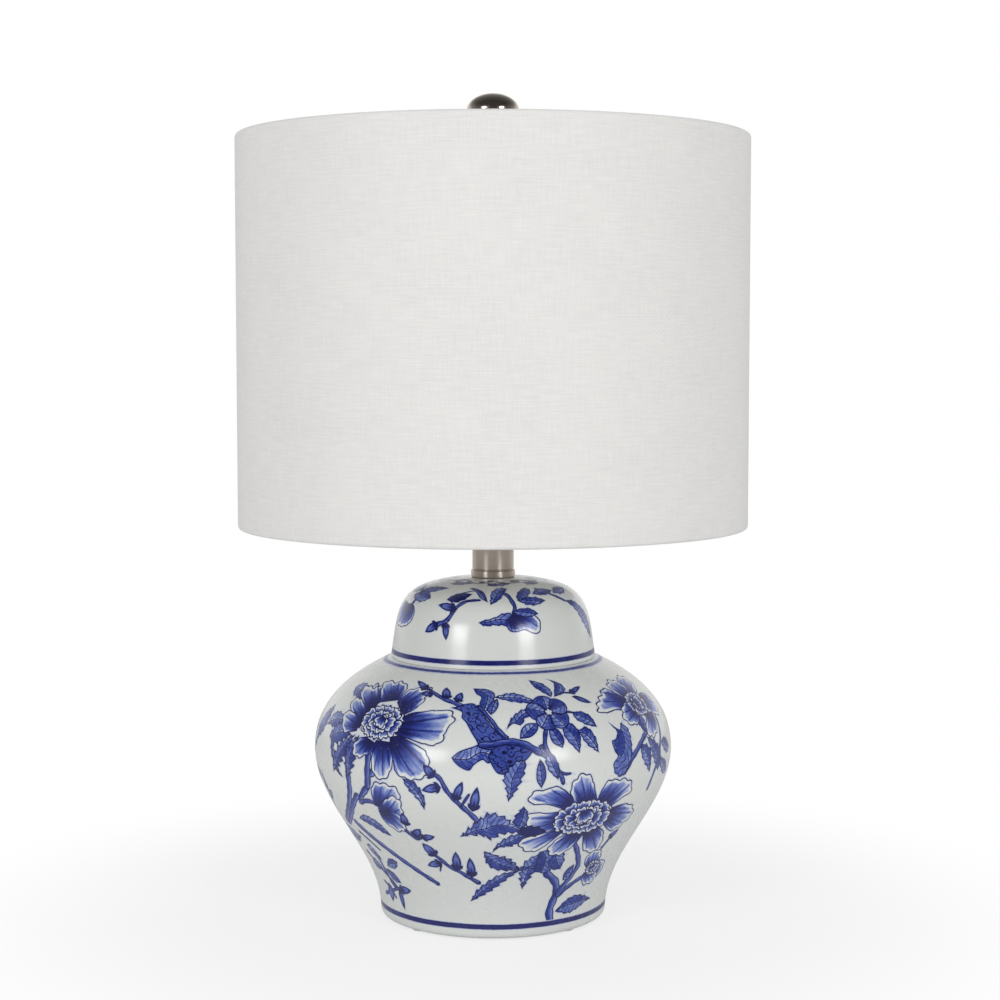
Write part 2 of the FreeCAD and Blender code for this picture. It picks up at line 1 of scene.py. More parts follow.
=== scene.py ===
# %% [markdown]
# # Ginger jar lamp
# A blue and white ginger jar on a foot ring carries a nickel neck, a socket, a bulb, a harp and a drum
# shade in off-white linen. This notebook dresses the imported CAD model: the model gives the sizes and the
# moving bodies, and each cell here makes one visible piece or finish on top of it.
# Lengths are written in millimetres, as a maker would, and turned into metres where a mesh is made.
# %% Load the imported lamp
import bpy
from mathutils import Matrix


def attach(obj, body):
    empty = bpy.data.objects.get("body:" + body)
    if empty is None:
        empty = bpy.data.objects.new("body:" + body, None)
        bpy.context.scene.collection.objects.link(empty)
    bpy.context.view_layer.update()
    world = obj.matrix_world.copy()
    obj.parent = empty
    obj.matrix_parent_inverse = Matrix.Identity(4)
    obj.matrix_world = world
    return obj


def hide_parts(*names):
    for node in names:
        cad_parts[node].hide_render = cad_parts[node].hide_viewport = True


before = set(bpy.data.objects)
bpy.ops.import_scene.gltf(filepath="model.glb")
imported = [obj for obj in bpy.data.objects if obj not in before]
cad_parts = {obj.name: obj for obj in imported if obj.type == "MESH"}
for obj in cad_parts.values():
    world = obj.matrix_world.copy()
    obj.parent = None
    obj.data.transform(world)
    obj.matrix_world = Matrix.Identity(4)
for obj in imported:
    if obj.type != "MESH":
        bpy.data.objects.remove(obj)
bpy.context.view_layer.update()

import math
import bpy
import bmesh
import numpy as np
from mathutils import Vector
from mathutils.geometry import delaunay_2d_cdt
from mathutils.kdtree import KDTree

mm = 0.001
scene = bpy.context.scene

# %% [markdown]
# ## The photographer's place
# The photograph was taken with a long lens from about 1.36 m, a little above the jar and looking slightly
# down, so both the top ellipse of the shade and the foot of the jar show a little curve. A camera could be
# placed by eye; here its height, distance and tilt come from the measured ellipses of shade, lid and foot,
# because one camera has to fit all three.
# %% Camera
eye_aside = 4.55
eye_height = 370.29
eye_distance = 1362.47
eye_tilt = 4.145                 # degrees below level
lens_to_frame = 2.09608          # focal length as a share of the frame's width

camera_data = bpy.data.cameras.new("camera")
camera_data.sensor_width = 36.0
camera_data.lens = 36.0 * lens_to_frame
camera_data.clip_start = 0.01
camera = bpy.data.objects.new("camera", camera_data)
camera.location = (eye_aside * mm, -eye_distance * mm, eye_height * mm)
camera.rotation_euler = (math.radians(90 - eye_tilt), 0, 0)
scene.collection.objects.link(camera)
bpy.context.scene.camera = camera
scene.view_settings.view_transform = "Standard"
print("lens", round(camera_data.lens, 2), "mm")

# %% [markdown]
# ## Small tools for node trees
# A material is a web of nodes. Linking them one by one is long to write and hard to read, so a socket is
# wrapped in a small class here: sums and products of wrapped sockets lay down Math nodes, and the formula
# stays readable. The same class serves materials, shader groups and the world.
# %% Formulas for node trees
class Flow:
    """A node socket that can be used in a formula."""

    def __init__(self, tree, socket):
        self.tree = tree
        self.socket = socket

    def op(self, kind, *others, clamp=False):
        node = self.tree.nodes.new("ShaderNodeMath")
        node.operation = kind
        node.use_clamp = clamp
        for place, value in enumerate((self,) + others):
            feed(self.tree, node.inputs[place], value)
        return Flow(self.tree, node.outputs[0])

    def __add__(self, other):
        return self.op("ADD", other)

    def __sub__(self, other):
        return self.op("SUBTRACT", other)

    def __mul__(self, other):
        return self.op("MULTIPLY", other)

    def __truediv__(self, other):
        return self.op("DIVIDE", other)

    def flip(self):
        return self.op("MULTIPLY_ADD", -1.0, 1.0)

    def limit(self):
        return self.op("ADD", 0.0, clamp=True)

    def rise(self, low, high, bottom=0.0, top=1.0):
        """Goes smoothly from bottom to top as this value goes from low to high."""
        node = self.tree.nodes.new("ShaderNodeMapRange")
        node.interpolation_type = "SMOOTHSTEP"
        for place, value in enumerate((self, low, high, bottom, top)):
            feed(self.tree, node.inputs[place], value)
        return Flow(self.tree, node.outputs[0])

    def near(self, centre, width, soft):
        """1 within width of centre, fading to 0 over soft."""
        return (self - centre).op("ABSOLUTE").rise(width, width + soft, 1.0, 0.0)


def feed(tree, socket, value):
    """Puts a number, a colour or a wrapped socket into a node's input."""
    if isinstance(value, Flow):
        tree.links.new(value.socket, socket)
    else:
        socket.default_value = value


def tint(red, green, blue):
    """A colour written in the 0 to 255 steps of a paint chart, as the linear values that Blender wants."""
    steps = [v / 255 for v in (red, green, blue)]
    return tuple(v / 12.92 if v <= 0.04045 else ((v + 0.055) / 1.055) ** 2.4 for v in steps) + (1.0,)


def blend_colour(tree, share, first, second):
    """A colour between first and second."""
    node = tree.nodes.new("ShaderNodeMix")
    node.data_type = "RGBA"
    feed(tree, node.inputs[0], share)
    feed(tree, node.inputs[6], first)
    feed(tree, node.inputs[7], second)
    return Flow(tree, node.outputs[2])


def ramp(tree, share, stops):
    """A colour ramp through (place, colour) stops."""
    node = tree.nodes.new("ShaderNodeValToRGB")
    band = node.color_ramp
    while len(band.elements) < len(stops):
        band.elements.new(0.5)
    for element, (place, colour) in zip(band.elements, stops):
        element.position = place
        element.color = colour
    feed(tree, node.inputs[0], share)
    return Flow(tree, node.outputs[0])


def vector_of(tree, x, y, z=0.0):
    node = tree.nodes.new("ShaderNodeCombineXYZ")
    for socket, value in zip(node.inputs, (x, y, z)):
        feed(tree, socket, value)
    return Flow(tree, node.outputs[0])


def parts_of(tree, vector):
    """The x, y and z of a vector."""
    node = tree.nodes.new("ShaderNodeSeparateXYZ")
    feed(tree, node.inputs[0], vector)
    return [Flow(tree, socket) for socket in node.outputs]


def cloud(tree, vector, scale, detail=3.0, rough=0.5):
    """Soft noise, about 0.5 on average."""
    node = tree.nodes.new("ShaderNodeTexNoise")
    feed(tree, node.inputs["Vector"], vector)
    node.inputs["Scale"].default_value = scale
    node.inputs["Detail"].default_value = detail
    node.inputs["Roughness"].default_value = rough
    return Flow(tree, node.outputs[0])


def cells(tree, vector, scale):
    """Distance to the middle of scattered cells."""
    node = tree.nodes.new("ShaderNodeTexVoronoi")
    feed(tree, node.inputs["Vector"], vector)
    node.inputs["Scale"].default_value = scale
    return Flow(tree, node.outputs[0])


def object_place(tree):
    return Flow(tree, tree.nodes.new("ShaderNodeTexCoord").outputs["Object"])


def attribute(tree, name):
    node = tree.nodes.new("ShaderNodeAttribute")
    node.attribute_name = name
    return Flow(tree, node.outputs["Vector"])


print("formula tools ready")

# %% [markdown]
# ## Floor, daylight and softboxes
# The lamp stands in a white sweep. Two small softboxes leave the pairs of square lights on the lid and the
# belly; their angles come from where those lights sit on the jar. The rest is even light from all round,
# at a level at which a colour shows about as it is written. Seen by the camera, through glass or in a
# reflection the sweep behind the lamp is white; the photographer's side and the ceiling are dim, which is
# what darkens the middle of the polished neck and the top of the finial.
# %% Floor
def sweep_finish():
    material = bpy.data.materials.new("white sweep")
    material.use_nodes = True
    tree = material.node_tree
    shader = tree.nodes["Principled BSDF"]
    shader.inputs["Roughness"].default_value = 0.7
    shader.inputs["Specular IOR Level"].default_value = 0.1
    place = object_place(tree)
    grain = cloud(tree, place, 9.0)
    paper = blend_colour(tree, grain, tint(236, 236, 236), tint(242, 242, 242))
    feed(tree, shader.inputs["Base Color"], paper)
    glow = tree.nodes.new("ShaderNodeEmission")
    glow.inputs["Strength"].default_value = 1.0
    length = tree.nodes.new("ShaderNodeVectorMath")
    length.operation = "LENGTH"
    feed(tree, length.inputs[0], place)
    far = Flow(tree, length.outputs["Value"]).rise(0.16, 0.42, 0.72, 1.0)
    seen = tree.nodes.new("ShaderNodeLightPath")
    through = Flow(tree, seen.outputs["Is Transmission Ray"])
    looked = Flow(tree, seen.outputs["Is Camera Ray"]).op("MAXIMUM", through)
    mix = tree.nodes.new("ShaderNodeMixShader")
    feed(tree, mix.inputs[0], looked * far)
    tree.links.new(shader.outputs[0], mix.inputs[1])
    tree.links.new(glow.outputs[0], mix.inputs[2])
    tree.links.new(mix.outputs[0], tree.nodes["Material Output"].inputs["Surface"])
    return material


floor_mesh = bpy.data.meshes.new("floor")
half = 4.0
corners = [(-half, -half, 0), (half, -half, 0), (half, half, 0), (-half, half, 0)]
floor_mesh.from_pydata(corners, [], [(0, 1, 2, 3)])
floor_mesh.materials.append(sweep_finish())
floor = bpy.data.objects.new("floor", floor_mesh)
scene.collection.objects.link(floor)
print("floor of", 2 * half, "m")

# %% Even light and two softboxes
world = bpy.data.worlds.new("studio")
scene.world = world
world.use_nodes = True
tree = world.node_tree
tree.nodes.clear()
direction = Flow(tree, tree.nodes.new("ShaderNodeTexCoord").outputs["Generated"])
x, y, z = parts_of(tree, direction)
white = (1.0, 1.0, 1.0, 1.0)
mirror = ramp(tree, y * 0.5 + 0.5 - z.rise(0.15, 0.8, 0.0, 0.4), [
    (0.00, (0.05, 0.049, 0.048, 1.0)),
    (0.30, (0.13, 0.126, 0.122, 1.0)),
    (0.60, (0.34, 0.335, 0.33, 1.0)),
    (0.85, white)])
even = 0.62
rays = tree.nodes.new("ShaderNodeLightPath")
is_camera = Flow(tree, rays.outputs["Is Camera Ray"])
is_glass = Flow(tree, rays.outputs["Is Transmission Ray"])
is_mirror = Flow(tree, rays.outputs["Is Glossy Ray"])
lit = blend_colour(tree, is_mirror, (even, even, even, 1.0), mirror)
lit = blend_colour(tree, is_camera.op("MAXIMUM", is_glass), lit, white)
background = tree.nodes.new("ShaderNodeBackground")
feed(tree, background.inputs["Color"], lit)
output = tree.nodes.new("ShaderNodeOutputWorld")
tree.links.new(background.outputs[0], output.inputs["Surface"])

softbox_power = 9.0
softbox_rise = 16.0              # degrees above level
softbox_away = 2.0               # metres from a point on the axis
aim_height = 0.15
for name, azimuth in (("softbox left", -39.0), ("softbox right", 39.0)):
    lamp = bpy.data.lights.new(name, "AREA")
    lamp.shape = "RECTANGLE"
    lamp.size = 0.60
    lamp.size_y = 0.54
    lamp.energy = softbox_power
    box = bpy.data.objects.new(name, lamp)
    turn = math.radians(azimuth)
    rise = math.radians(softbox_rise)
    away = Vector((math.sin(turn) * math.cos(rise), -math.cos(turn) * math.cos(rise), math.sin(rise)))
    box.location = Vector((0.0, 0.0, aim_height)) + away * softbox_away
    box.rotation_euler = away.to_track_quat("Z", "Y").to_euler()
    box.visible_camera = False
    scene.collection.objects.link(box)
print("even light", even, "and two softboxes of", softbox_power, "W")

# %% [markdown]
# ## Small tools for shapes
# Most pieces of a lamp are turned or spun: one outline carried round the axis. `turned` does that with plain
# mesh code, and closes the outline where it reaches the axis. The outline runs up the outside and down the
# inside, so that the faces point outwards. Curves are drawn as Bezier spans, like the pull of a template.
# %% Outlines and turned shapes
def span(start, pull_start, pull_end, end, steps):
    """Points of one Bezier span, without its first point."""
    points = []
    for step in range(1, steps + 1):
        t = step / steps
        a, b, c, d = (1 - t) ** 3, 3 * t * (1 - t) ** 2, 3 * t * t * (1 - t), t ** 3
        pulls = zip(start, pull_start, pull_end, end)
        points.append(tuple(a * p + b * q + c * r + d * s for p, q, r, s in pulls))
    return points


def bend(start, through, end, steps=6):
    """Points of a rounded corner from start to end that passes through a point, without the first."""
    pull = tuple(2 * m - (s + e) / 2 for s, m, e in zip(start, through, end))
    points = []
    for step in range(1, steps + 1):
        t = step / steps
        pulls = zip(start, pull, end)
        points.append(tuple((1 - t) ** 2 * s + 2 * t * (1 - t) * p + t * t * e for s, p, e in pulls))
    return points


def turned(outline, steps=96, closed=True, angles=None, shift=None):
    """Points and faces of an outline of (radius, height) carried round the vertical axis.

    angles gives uneven steps in degrees, and shift(place, angle) a change of radius at one of the points."""
    angles = angles or [360.0 * step / steps for step in range(steps)]
    steps = len(angles)
    points, rings, faces = [], [], []
    for radius, height in outline:
        if radius < 1e-6:
            rings.append([len(points)] * steps)
            points.append((0.0, 0.0, height))
            continue
        place = len(rings)
        rings.append(list(range(len(points), len(points) + steps)))
        for degrees in angles:
            turn = math.radians(degrees)
            reach = radius + (shift(place, degrees) if shift else 0.0)
            points.append((reach * math.cos(turn), reach * math.sin(turn), height))
    pairs = list(zip(rings, rings[1:]))
    if closed:
        pairs.append((rings[-1], rings[0]))
    for low, high in pairs:
        for step in range(steps):
            after = (step + 1) % steps
            face = []
            for point in (low[step], low[after], high[after], high[step]):
                if point not in face:
                    face.append(point)
            if len(face) > 2:
                faces.append(face)
    return points, faces


def joined(*shapes):
    """Several (points, faces) shapes as one."""
    points, faces = [], []
    for some_points, some_faces in shapes:
        start = len(points)
        points.extend(some_points)
        faces.extend(tuple(start + i for i in face) for face in some_faces)
    return points, faces


def piece(name, shape, finish, sharp=32):
    """A mesh object from millimetre points and faces, smooth except at edges sharper than the angle."""
    points, faces = shape
    mesh = bpy.data.meshes.new(name)
    mesh.from_pydata([(x * mm, y * mm, z * mm) for x, y, z in points], [], faces)
    mesh.materials.append(finish)
    work = bmesh.new()
    work.from_mesh(mesh)
    bmesh.ops.remove_doubles(work, verts=work.verts, dist=1e-7)
    work.to_mesh(mesh)
    work.free()
    mesh.shade_smooth()
    mesh.set_sharp_from_angle(angle=math.radians(sharp))
    made = bpy.data.objects.new(name, mesh)
    scene.collection.objects.link(made)
    return made


def tell(made):
    """Prints what was made."""
    size = [round(v * 1000, 1) for v in made.dimensions]
    triangles = sum(len(face.vertices) - 2 for face in made.data.polygons)
    print(f"{made.name}: {size} mm, {triangles} triangles")


print("shape tools ready")

# %% [markdown]
# ## Finishes
# Four effects come back in several materials: fine grain and rubbing on metal, cloudiness in fired or
# moulded surfaces, the weave of cloth, and the brush work on the jar. Each is built once as a shader node
# group with its own inputs, and put out as colours, masks or heights; the Principled shader stays in the
# material. Everything is read from the Object coordinates, so a pattern stays on its piece.
# %% Making groups and materials
def new_group(name, inputs, outputs):
    """An empty shader group with named sockets, and its inputs wrapped for formulas."""
    group = bpy.data.node_groups.new(name, "ShaderNodeTree")
    kinds = {"value": "NodeSocketFloat", "colour": "NodeSocketColor", "vector": "NodeSocketVector"}
    for title, kind, value in inputs:
        socket = group.interface.new_socket(name=title, in_out="INPUT", socket_type=kinds[kind])
        if value is not None:
            socket.default_value = value
    for title, kind in outputs:
        group.interface.new_socket(name=title, in_out="OUTPUT", socket_type=kinds[kind])
    entry = group.nodes.new("NodeGroupInput")
    leave = group.nodes.new("NodeGroupOutput")
    given = {title: Flow(group, entry.outputs[title]) for title, kind, value in inputs}
    return group, given, leave


def use_group(tree, group, **values):
    """Places a group in a tree and returns its outputs by name. Underscores stand for spaces."""
    node = tree.nodes.new("ShaderNodeGroup")
    node.node_tree = group
    for title, value in values.items():
        feed(tree, node.inputs[title.replace("_", " ")], value)
    return {socket.name: Flow(tree, socket) for socket in node.outputs}


def new_finish(name, **plain):
    """A material and its Principled shader, with the plain values set on the shader's own sockets."""
    material = bpy.data.materials.new(name)
    material.use_nodes = True
    shader = material.node_tree.nodes["Principled BSDF"]
    for title, value in plain.items():
        shader.inputs[title.replace("_", " ")].default_value = value
    return material, material.node_tree, shader


def raise_surface(tree, shader, height, strength, depth):
    """Feeds a height in metres into the shader's normal."""
    node = tree.nodes.new("ShaderNodeBump")
    node.inputs["Strength"].default_value = strength
    node.inputs["Distance"].default_value = depth
    feed(tree, node.inputs["Height"], height)
    tree.links.new(node.outputs[0], shader.inputs["Normal"])


# %% Grain on metal
grain_group, given, leave = new_group("metal grain", [
    ("Place", "vector", None), ("Line Scale", "value", 900.0), ("Turned", "value", 1.0), ("Wear", "value", 0.5)],
    [("Lines", "value"), ("Rub", "value"), ("Height", "value")])
x, y, z = parts_of(grain_group, given["Place"])
radius = (x * x + y * y).op("SQRT")
angle = y.op("ARCTAN2", x)
round_lines = vector_of(grain_group, radius * given["Line Scale"], angle * 1.5, z * given["Line Scale"])
long_lines = vector_of(grain_group, x * given["Line Scale"], y * given["Line Scale"], z * 30.0)
choice = grain_group.nodes.new("ShaderNodeMix")
choice.data_type = "VECTOR"
feed(grain_group, choice.inputs[0], given["Turned"])
feed(grain_group, choice.inputs[4], long_lines)
feed(grain_group, choice.inputs[5], round_lines)
lines = cloud(grain_group, Flow(grain_group, choice.outputs[1]), 1.0, 4.0, 0.65)
rub = cloud(grain_group, given["Place"], 55.0, 5.0, 0.6).rise(0.42, 0.68) * given["Wear"]
feed(grain_group, leave.inputs["Lines"], lines)
feed(grain_group, leave.inputs["Rub"], rub)
feed(grain_group, leave.inputs["Height"], lines * 0.8 + rub * 0.2)
print("group:", grain_group.name)

# %% Cloudiness, specks and dust
cloudy_group, given, leave = new_group("cloudiness", [
    ("Place", "vector", None), ("Cloud Scale", "value", 22.0), ("Speck Scale", "value", 420.0)],
    [("Cloud", "value"), ("Specks", "value"), ("Smudge", "value")])
scaled = cloudy_group.nodes.new("ShaderNodeVectorMath")
scaled.operation = "SCALE"
feed(cloudy_group, scaled.inputs[0], given["Place"])
feed(cloudy_group, scaled.inputs["Scale"], given["Cloud Scale"])
soft = cloud(cloudy_group, Flow(cloudy_group, scaled.outputs[0]), 1.0, 4.0, 0.55)
tiny = cloudy_group.nodes.new("ShaderNodeVectorMath")
tiny.operation = "SCALE"
feed(cloudy_group, tiny.inputs[0], given["Place"])
feed(cloudy_group, tiny.inputs["Scale"], given["Speck Scale"])
specks = cells(cloudy_group, Flow(cloudy_group, tiny.outputs[0]), 1.0).rise(0.08, 0.16, 1.0, 0.0)
feed(cloudy_group, leave.inputs["Cloud"], soft)
feed(cloudy_group, leave.inputs["Specks"], specks * soft.rise(0.5, 0.62))
smudge = cloud(cloudy_group, given["Place"], 38.0, 6.0, 0.62).rise(0.48, 0.66)
feed(cloudy_group, leave.inputs["Smudge"], smudge)
print("group:", cloudy_group.name)

# %% Weave of cloth
# The weave follows the cloth's own map in metres: along the roll and up the drop.
weave_group, given, leave = new_group("linen weave", [
    ("Cloth Place", "vector", None), ("Threads", "value", 2100.0)],
    [("Height", "value"), ("Slub", "value"), ("Gap Shade", "value")])
u, v = parts_of(weave_group, given["Cloth Place"])[:2]
warp_drift = cloud(weave_group, vector_of(weave_group, u * 260.0, v * 18.0), 1.0, 2.0) * 2.2
weft_drift = cloud(weave_group, vector_of(weave_group, u * 18.0, v * 260.0, 5.0), 1.0, 2.0) * 2.2
warp_wave = (u * given["Threads"] + warp_drift).op("SINE")
weft_wave = (v * given["Threads"] + weft_drift).op("SINE")
cross = (warp_wave * weft_wave) * 0.5 + 0.5
warp_slub = cloud(weave_group, vector_of(weave_group, u * 900.0, v * 60.0, 2.0), 1.0, 4.0, 0.6)
weft_slub = cloud(weave_group, vector_of(weave_group, u * 60.0, v * 900.0, 9.0), 1.0, 4.0, 0.6)
slub = warp_slub * 0.4 + weft_slub * 0.6
feed(weave_group, leave.inputs["Height"], cross * 0.6 + slub * 0.8)
feed(weave_group, leave.inputs["Slub"], slub)
# Gap Shade is painted shade: it darkens the hollows between the threads, where neither thread crests.
crests = warp_wave.op("ABSOLUTE") + weft_wave.op("ABSOLUTE")
feed(weave_group, leave.inputs["Gap Shade"], crests.rise(0.15, 0.7, 1.0, 0.0))
print("group:", weave_group.name)

# %% [markdown]
# ## Brush work
# Cobalt under the glaze has three looks: a dark line round each shape, a wash that pools towards the base of
# a petal, and a pale fringe where the colour bled. The group below turns the brush values that the skin
# carries into an amount of ink, and the ink into colour. The jar and the lid both use it.
# %% Ink from distance and place
fired_glaze = tint(214, 217, 214)
ink_group, given, leave = new_group("brush work", [
    ("Brush", "vector", None), ("Size", "vector", None), ("Place", "vector", None),
    ("Line Width", "value", 0.62)],
    [("Ink", "value"), ("Colour", "colour")])
tree = ink_group
lateral, along, edge = parts_of(tree, given["Brush"])
half_wide, reach, code = parts_of(tree, given["Size"])
kind = code.op("FLOOR")
tone = code - kind
painted = code.op("GREATER_THAN", -0.5)


def of_kind(number):
    return (kind - number).op("ABSOLUTE").op("LESS_THAN", 0.5)


pooling = cloud(tree, given["Place"], 170.0, 3.0, 0.6) - 0.5
mottle = cloud(tree, given["Place"], 520.0, 3.0, 0.6) - 0.5
shaky = mottle * 0.35
outline = (edge + shaky).rise(given["Line Width"], given["Line Width"] + 0.28, 1.0, 0.0)

# petals: dark at the base, streaks that fan out, a pale rim inside the line
share = along / reach
streaks = cloud(tree, vector_of(tree, lateral * 0.95, along * 0.05, tone * 9.0), 1.0, 3.0, 0.7)
fine_lines = (lateral * 2.6 + mottle * 1.2).op("SINE").rise(0.72, 0.98)
fan = share.rise(0.05, 0.92, 0.98, 0.20) + (streaks - 0.5) * 0.85 + tone * 0.20 - 0.06
fan = fan + fine_lines * share.rise(0.3, 0.95, 0.30, 0.26)
rim_light = (edge / (reach * 0.04 + 0.9)).rise(0.7, 1.6, 0.42, 0.0) * share.rise(0.25, 0.6)
petal_ink = (fan - rim_light).limit() * 0.92

# leaves: a dark middle vein, side veins that rise from it, one half lighter than the other
aside = lateral.op("ABSOLUTE")
vein = aside.rise(0.22, 0.5, 1.0, 0.0)
herring = (along * 1.9 + aside * 1.5 + mottle * 1.5).op("SINE").rise(0.60, 0.96)
lit_half = lateral.rise(-0.5, 0.5, 0.16, -0.03)
leaf_wash = tone * 0.20 + 0.47 + pooling * 0.7 - lit_half - aside.rise(0.4, 1.3, 0.13, 0.0)
leaf_ink = leaf_wash.op("MAXIMUM", vein * 0.93).op("MAXIMUM", herring * 0.84)

# stems: darker on the lower edge, streaked along
streak_along = cloud(tree, vector_of(tree, lateral * 1.8, along * 0.22, tone * 5.0), 1.0, 3.0, 0.6) - 0.5
stem_ink = lateral.rise(-1.6, 1.6, 0.70, 0.38) + streak_along * 0.65 + tone * 0.12

# bark: curls and cross strokes on a middle wash
curl = (cells(tree, vector_of(tree, lateral * 0.26, along * 0.2, 0.0), 1.0) * 15.0 + mottle * 1.4).op("SINE")
bark_ink = curl.rise(0.50, 0.92) * 0.42 + 0.50 + streak_along * 0.3 + tone * 0.1

# buds: a pale middle between dark sides
bud_ink = edge.rise(0.4, 1.5, 0.84, 0.42) + share.rise(0.1, 0.7, 0.2, 0.0) + streak_along * 0.4

ink = petal_ink * of_kind(0) + leaf_ink * of_kind(1) + stem_ink * of_kind(2)
ink = ink + bark_ink * of_kind(3) + bud_ink * of_kind(4) + (pooling * 0.4 + 0.88) * of_kind(5)
ink = ink.limit().op("MAXIMUM", outline * 0.95) * painted
bleed = (edge * -1.0).rise(0.05, 1.0, 0.15, 0.0) * painted.flip()
ink = (ink + bleed).limit()
feed(tree, leave.inputs["Ink"], ink)
feed(tree, leave.inputs["Colour"], ramp(tree, ink, [
    (0.00, fired_glaze),
    (0.14, tint(188, 196, 218)),
    (0.34, tint(112, 130, 192)),
    (0.56, tint(48, 68, 154)),
    (0.78, tint(20, 30, 112)),
    (1.00, tint(8, 9, 56))]))
print("group:", ink_group.name)


# %% Painted glaze
def painted_glaze(name, bands, rough=0.19):
    """Glaze over brush work, with ring lines of ink at given heights: (middle, half width, strength)."""
    material, tree, shader = new_finish(name, **{"IOR": 1.5, "Coat Weight": 0.15, "Coat Roughness": 0.12})
    place = object_place(tree)
    drawn = use_group(tree, ink_group, Brush=attribute(tree, "brush"), Size=attribute(tree, "size"), Place=place)
    look = use_group(tree, cloudy_group, Place=place, Cloud_Scale=24.0, Speck_Scale=300.0)
    x, y, height = parts_of(tree, place)
    sway = (cloud(tree, place, 30.0, 2.0) - 0.5) * 0.0007 + (cloud(tree, place, 400.0, 2.0) - 0.5) * 0.0003
    ringed = None
    for middle, half_width, strength in bands:
        off = (height + sway - middle * mm).op("ABSOLUTE")
        line = off.rise(half_width * mm, (half_width + 0.25) * mm, strength, 0.0)
        fringe = off.rise(half_width * mm, (half_width + 1.1) * mm, 0.2, 0.0)
        line = line.op("MAXIMUM", fringe)
        ringed = line if ringed is None else ringed.op("MAXIMUM", line)
    worked = ringed * (cloud(tree, place, 90.0, 3.0) * 0.5 + 0.75)
    band_colour = ramp(tree, worked, [(0.0, fired_glaze), (0.25, tint(160, 168, 210)),
                                      (0.6, tint(64, 78, 150)), (1.0, tint(22, 26, 98))])
    base = blend_colour(tree, ringed.rise(0.02, 0.12), drawn["Colour"], band_colour)
    bare = drawn["Ink"].op("MAXIMUM", ringed).rise(0.0, 0.3, 0.30, 0.0)
    milky = blend_colour(tree, look["Cloud"].rise(0.3, 0.72, 0.0, 0.4) * bare, base, tint(222, 223, 217))
    speck = blend_colour(tree, look["Specks"] * 0.35, milky, tint(150, 146, 136))
    feed(tree, shader.inputs["Base Color"], speck)
    feed(tree, shader.inputs["Roughness"], look["Smudge"].rise(0.0, 1.0, rough, rough + 0.06))
    raise_surface(tree, shader, look["Cloud"] + look["Specks"] * 0.15, 0.12, 0.0004)
    return material


jar_glaze = painted_glaze("painted jar glaze", [(9.0, 1.5, 1.0), (168.45, 0.42, 0.8)], 0.27)
lid_glaze = painted_glaze("painted lid glaze", [(174.25, 1.35, 1.0)])
print("glazes ready")

# %% [markdown]
# ## Plain finishes
# Nickel plate, wire, card, plastics and rubber. A single flat colour never looks like a real thing, so each
# one takes a little from the groups: grain in the polish, rubbed spots, cloudiness in a moulding, specks of
# dust. Roughness and a shallow bump follow the same masks.
# %% Metals
def metal_finish(name, dark, light, rough, line_scale, turned_share, wear, pull=0.0, depth=0.00002):
    """Metal between two tones. pull is the share by which turning marks draw a highlight out."""
    plain = {"Metallic": 1.0}
    if pull:
        plain["Anisotropic"] = pull
        plain["Anisotropic Rotation"] = 0.25          # a quarter turn: across the turning marks
    material, tree, shader = new_finish(name, **plain)
    grain = use_group(tree, grain_group, Place=object_place(tree), Line_Scale=line_scale,
                      Turned=turned_share, Wear=wear)
    shade = blend_colour(tree, grain["Lines"], dark, light)
    feed(tree, shader.inputs["Base Color"], blend_colour(tree, grain["Rub"] * 0.5, shade, light))
    feed(tree, shader.inputs["Roughness"], grain["Rub"].rise(0.0, 1.0, rough, rough + 0.14))
    raise_surface(tree, shader, grain["Height"], 0.25, depth)
    if pull:
        tangent = tree.nodes.new("ShaderNodeTangent")
        tangent.direction_type = "RADIAL"
        tangent.axis = "Z"
        tree.links.new(tangent.outputs[0], shader.inputs["Tangent"])
    return material


satin_nickel = metal_finish("satin nickel", tint(186, 174, 163), tint(212, 201, 190),
                            0.29, 1500.0, 1.0, 0.2, 0.85)
bright_nickel = metal_finish("bright nickel", tint(170, 161, 152), tint(206, 197, 188), 0.16, 700.0, 1.0, 0.4)
nickel_wire = metal_finish("nickel wire", tint(178, 172, 165), tint(212, 206, 199), 0.22, 500.0, 0.0, 0.5)
zinc_steel = metal_finish("zinc steel", tint(150, 152, 154), tint(200, 202, 204), 0.34, 420.0, 1.0, 0.9)
lamp_steel = metal_finish("lamp pipe steel", tint(132, 132, 130), tint(182, 182, 178), 0.38, 380.0, 1.0, 0.9)
socket_brass = metal_finish("socket shell metal", tint(176, 168, 158), tint(212, 205, 196),
                            0.26, 800.0, 1.0, 0.5, 0.4)
screw_metal = metal_finish("screw shell metal", tint(186, 178, 160), tint(220, 213, 196), 0.30, 600.0, 1.0, 0.7)
contact_brass = metal_finish("contact brass", tint(170, 138, 78), tint(216, 186, 120), 0.28, 500.0, 0.0, 0.8)
solder_finish = metal_finish("solder", tint(140, 142, 144), tint(190, 192, 194),
                             0.42, 260.0, 0.0, 0.9, depth=0.00006)
bulb_metal = metal_finish("bulb cap metal", tint(176, 176, 172), tint(214, 214, 210), 0.27, 700.0, 1.0, 0.6)
print("metals ready")


# %% Mouldings, felt and rubber
def moulded_finish(name, dark, light, rough, speck, cloud_scale=22.0, speck_scale=420.0, depth=0.00003,
                   bump=0.2):
    material, tree, shader = new_finish(name)
    look = use_group(tree, cloudy_group, Place=object_place(tree),
                     Cloud_Scale=cloud_scale, Speck_Scale=speck_scale)
    shade = blend_colour(tree, look["Cloud"].rise(0.3, 0.7), dark, light)
    dusty = blend_colour(tree, look["Specks"] * speck, shade, tint(196, 192, 184))
    feed(tree, shader.inputs["Base Color"], dusty)
    feed(tree, shader.inputs["Roughness"], look["Smudge"].rise(0.0, 1.0, rough, min(rough + 0.12, 1.0)))
    raise_surface(tree, shader, look["Cloud"] + look["Specks"] * 0.4, bump, depth)
    return material


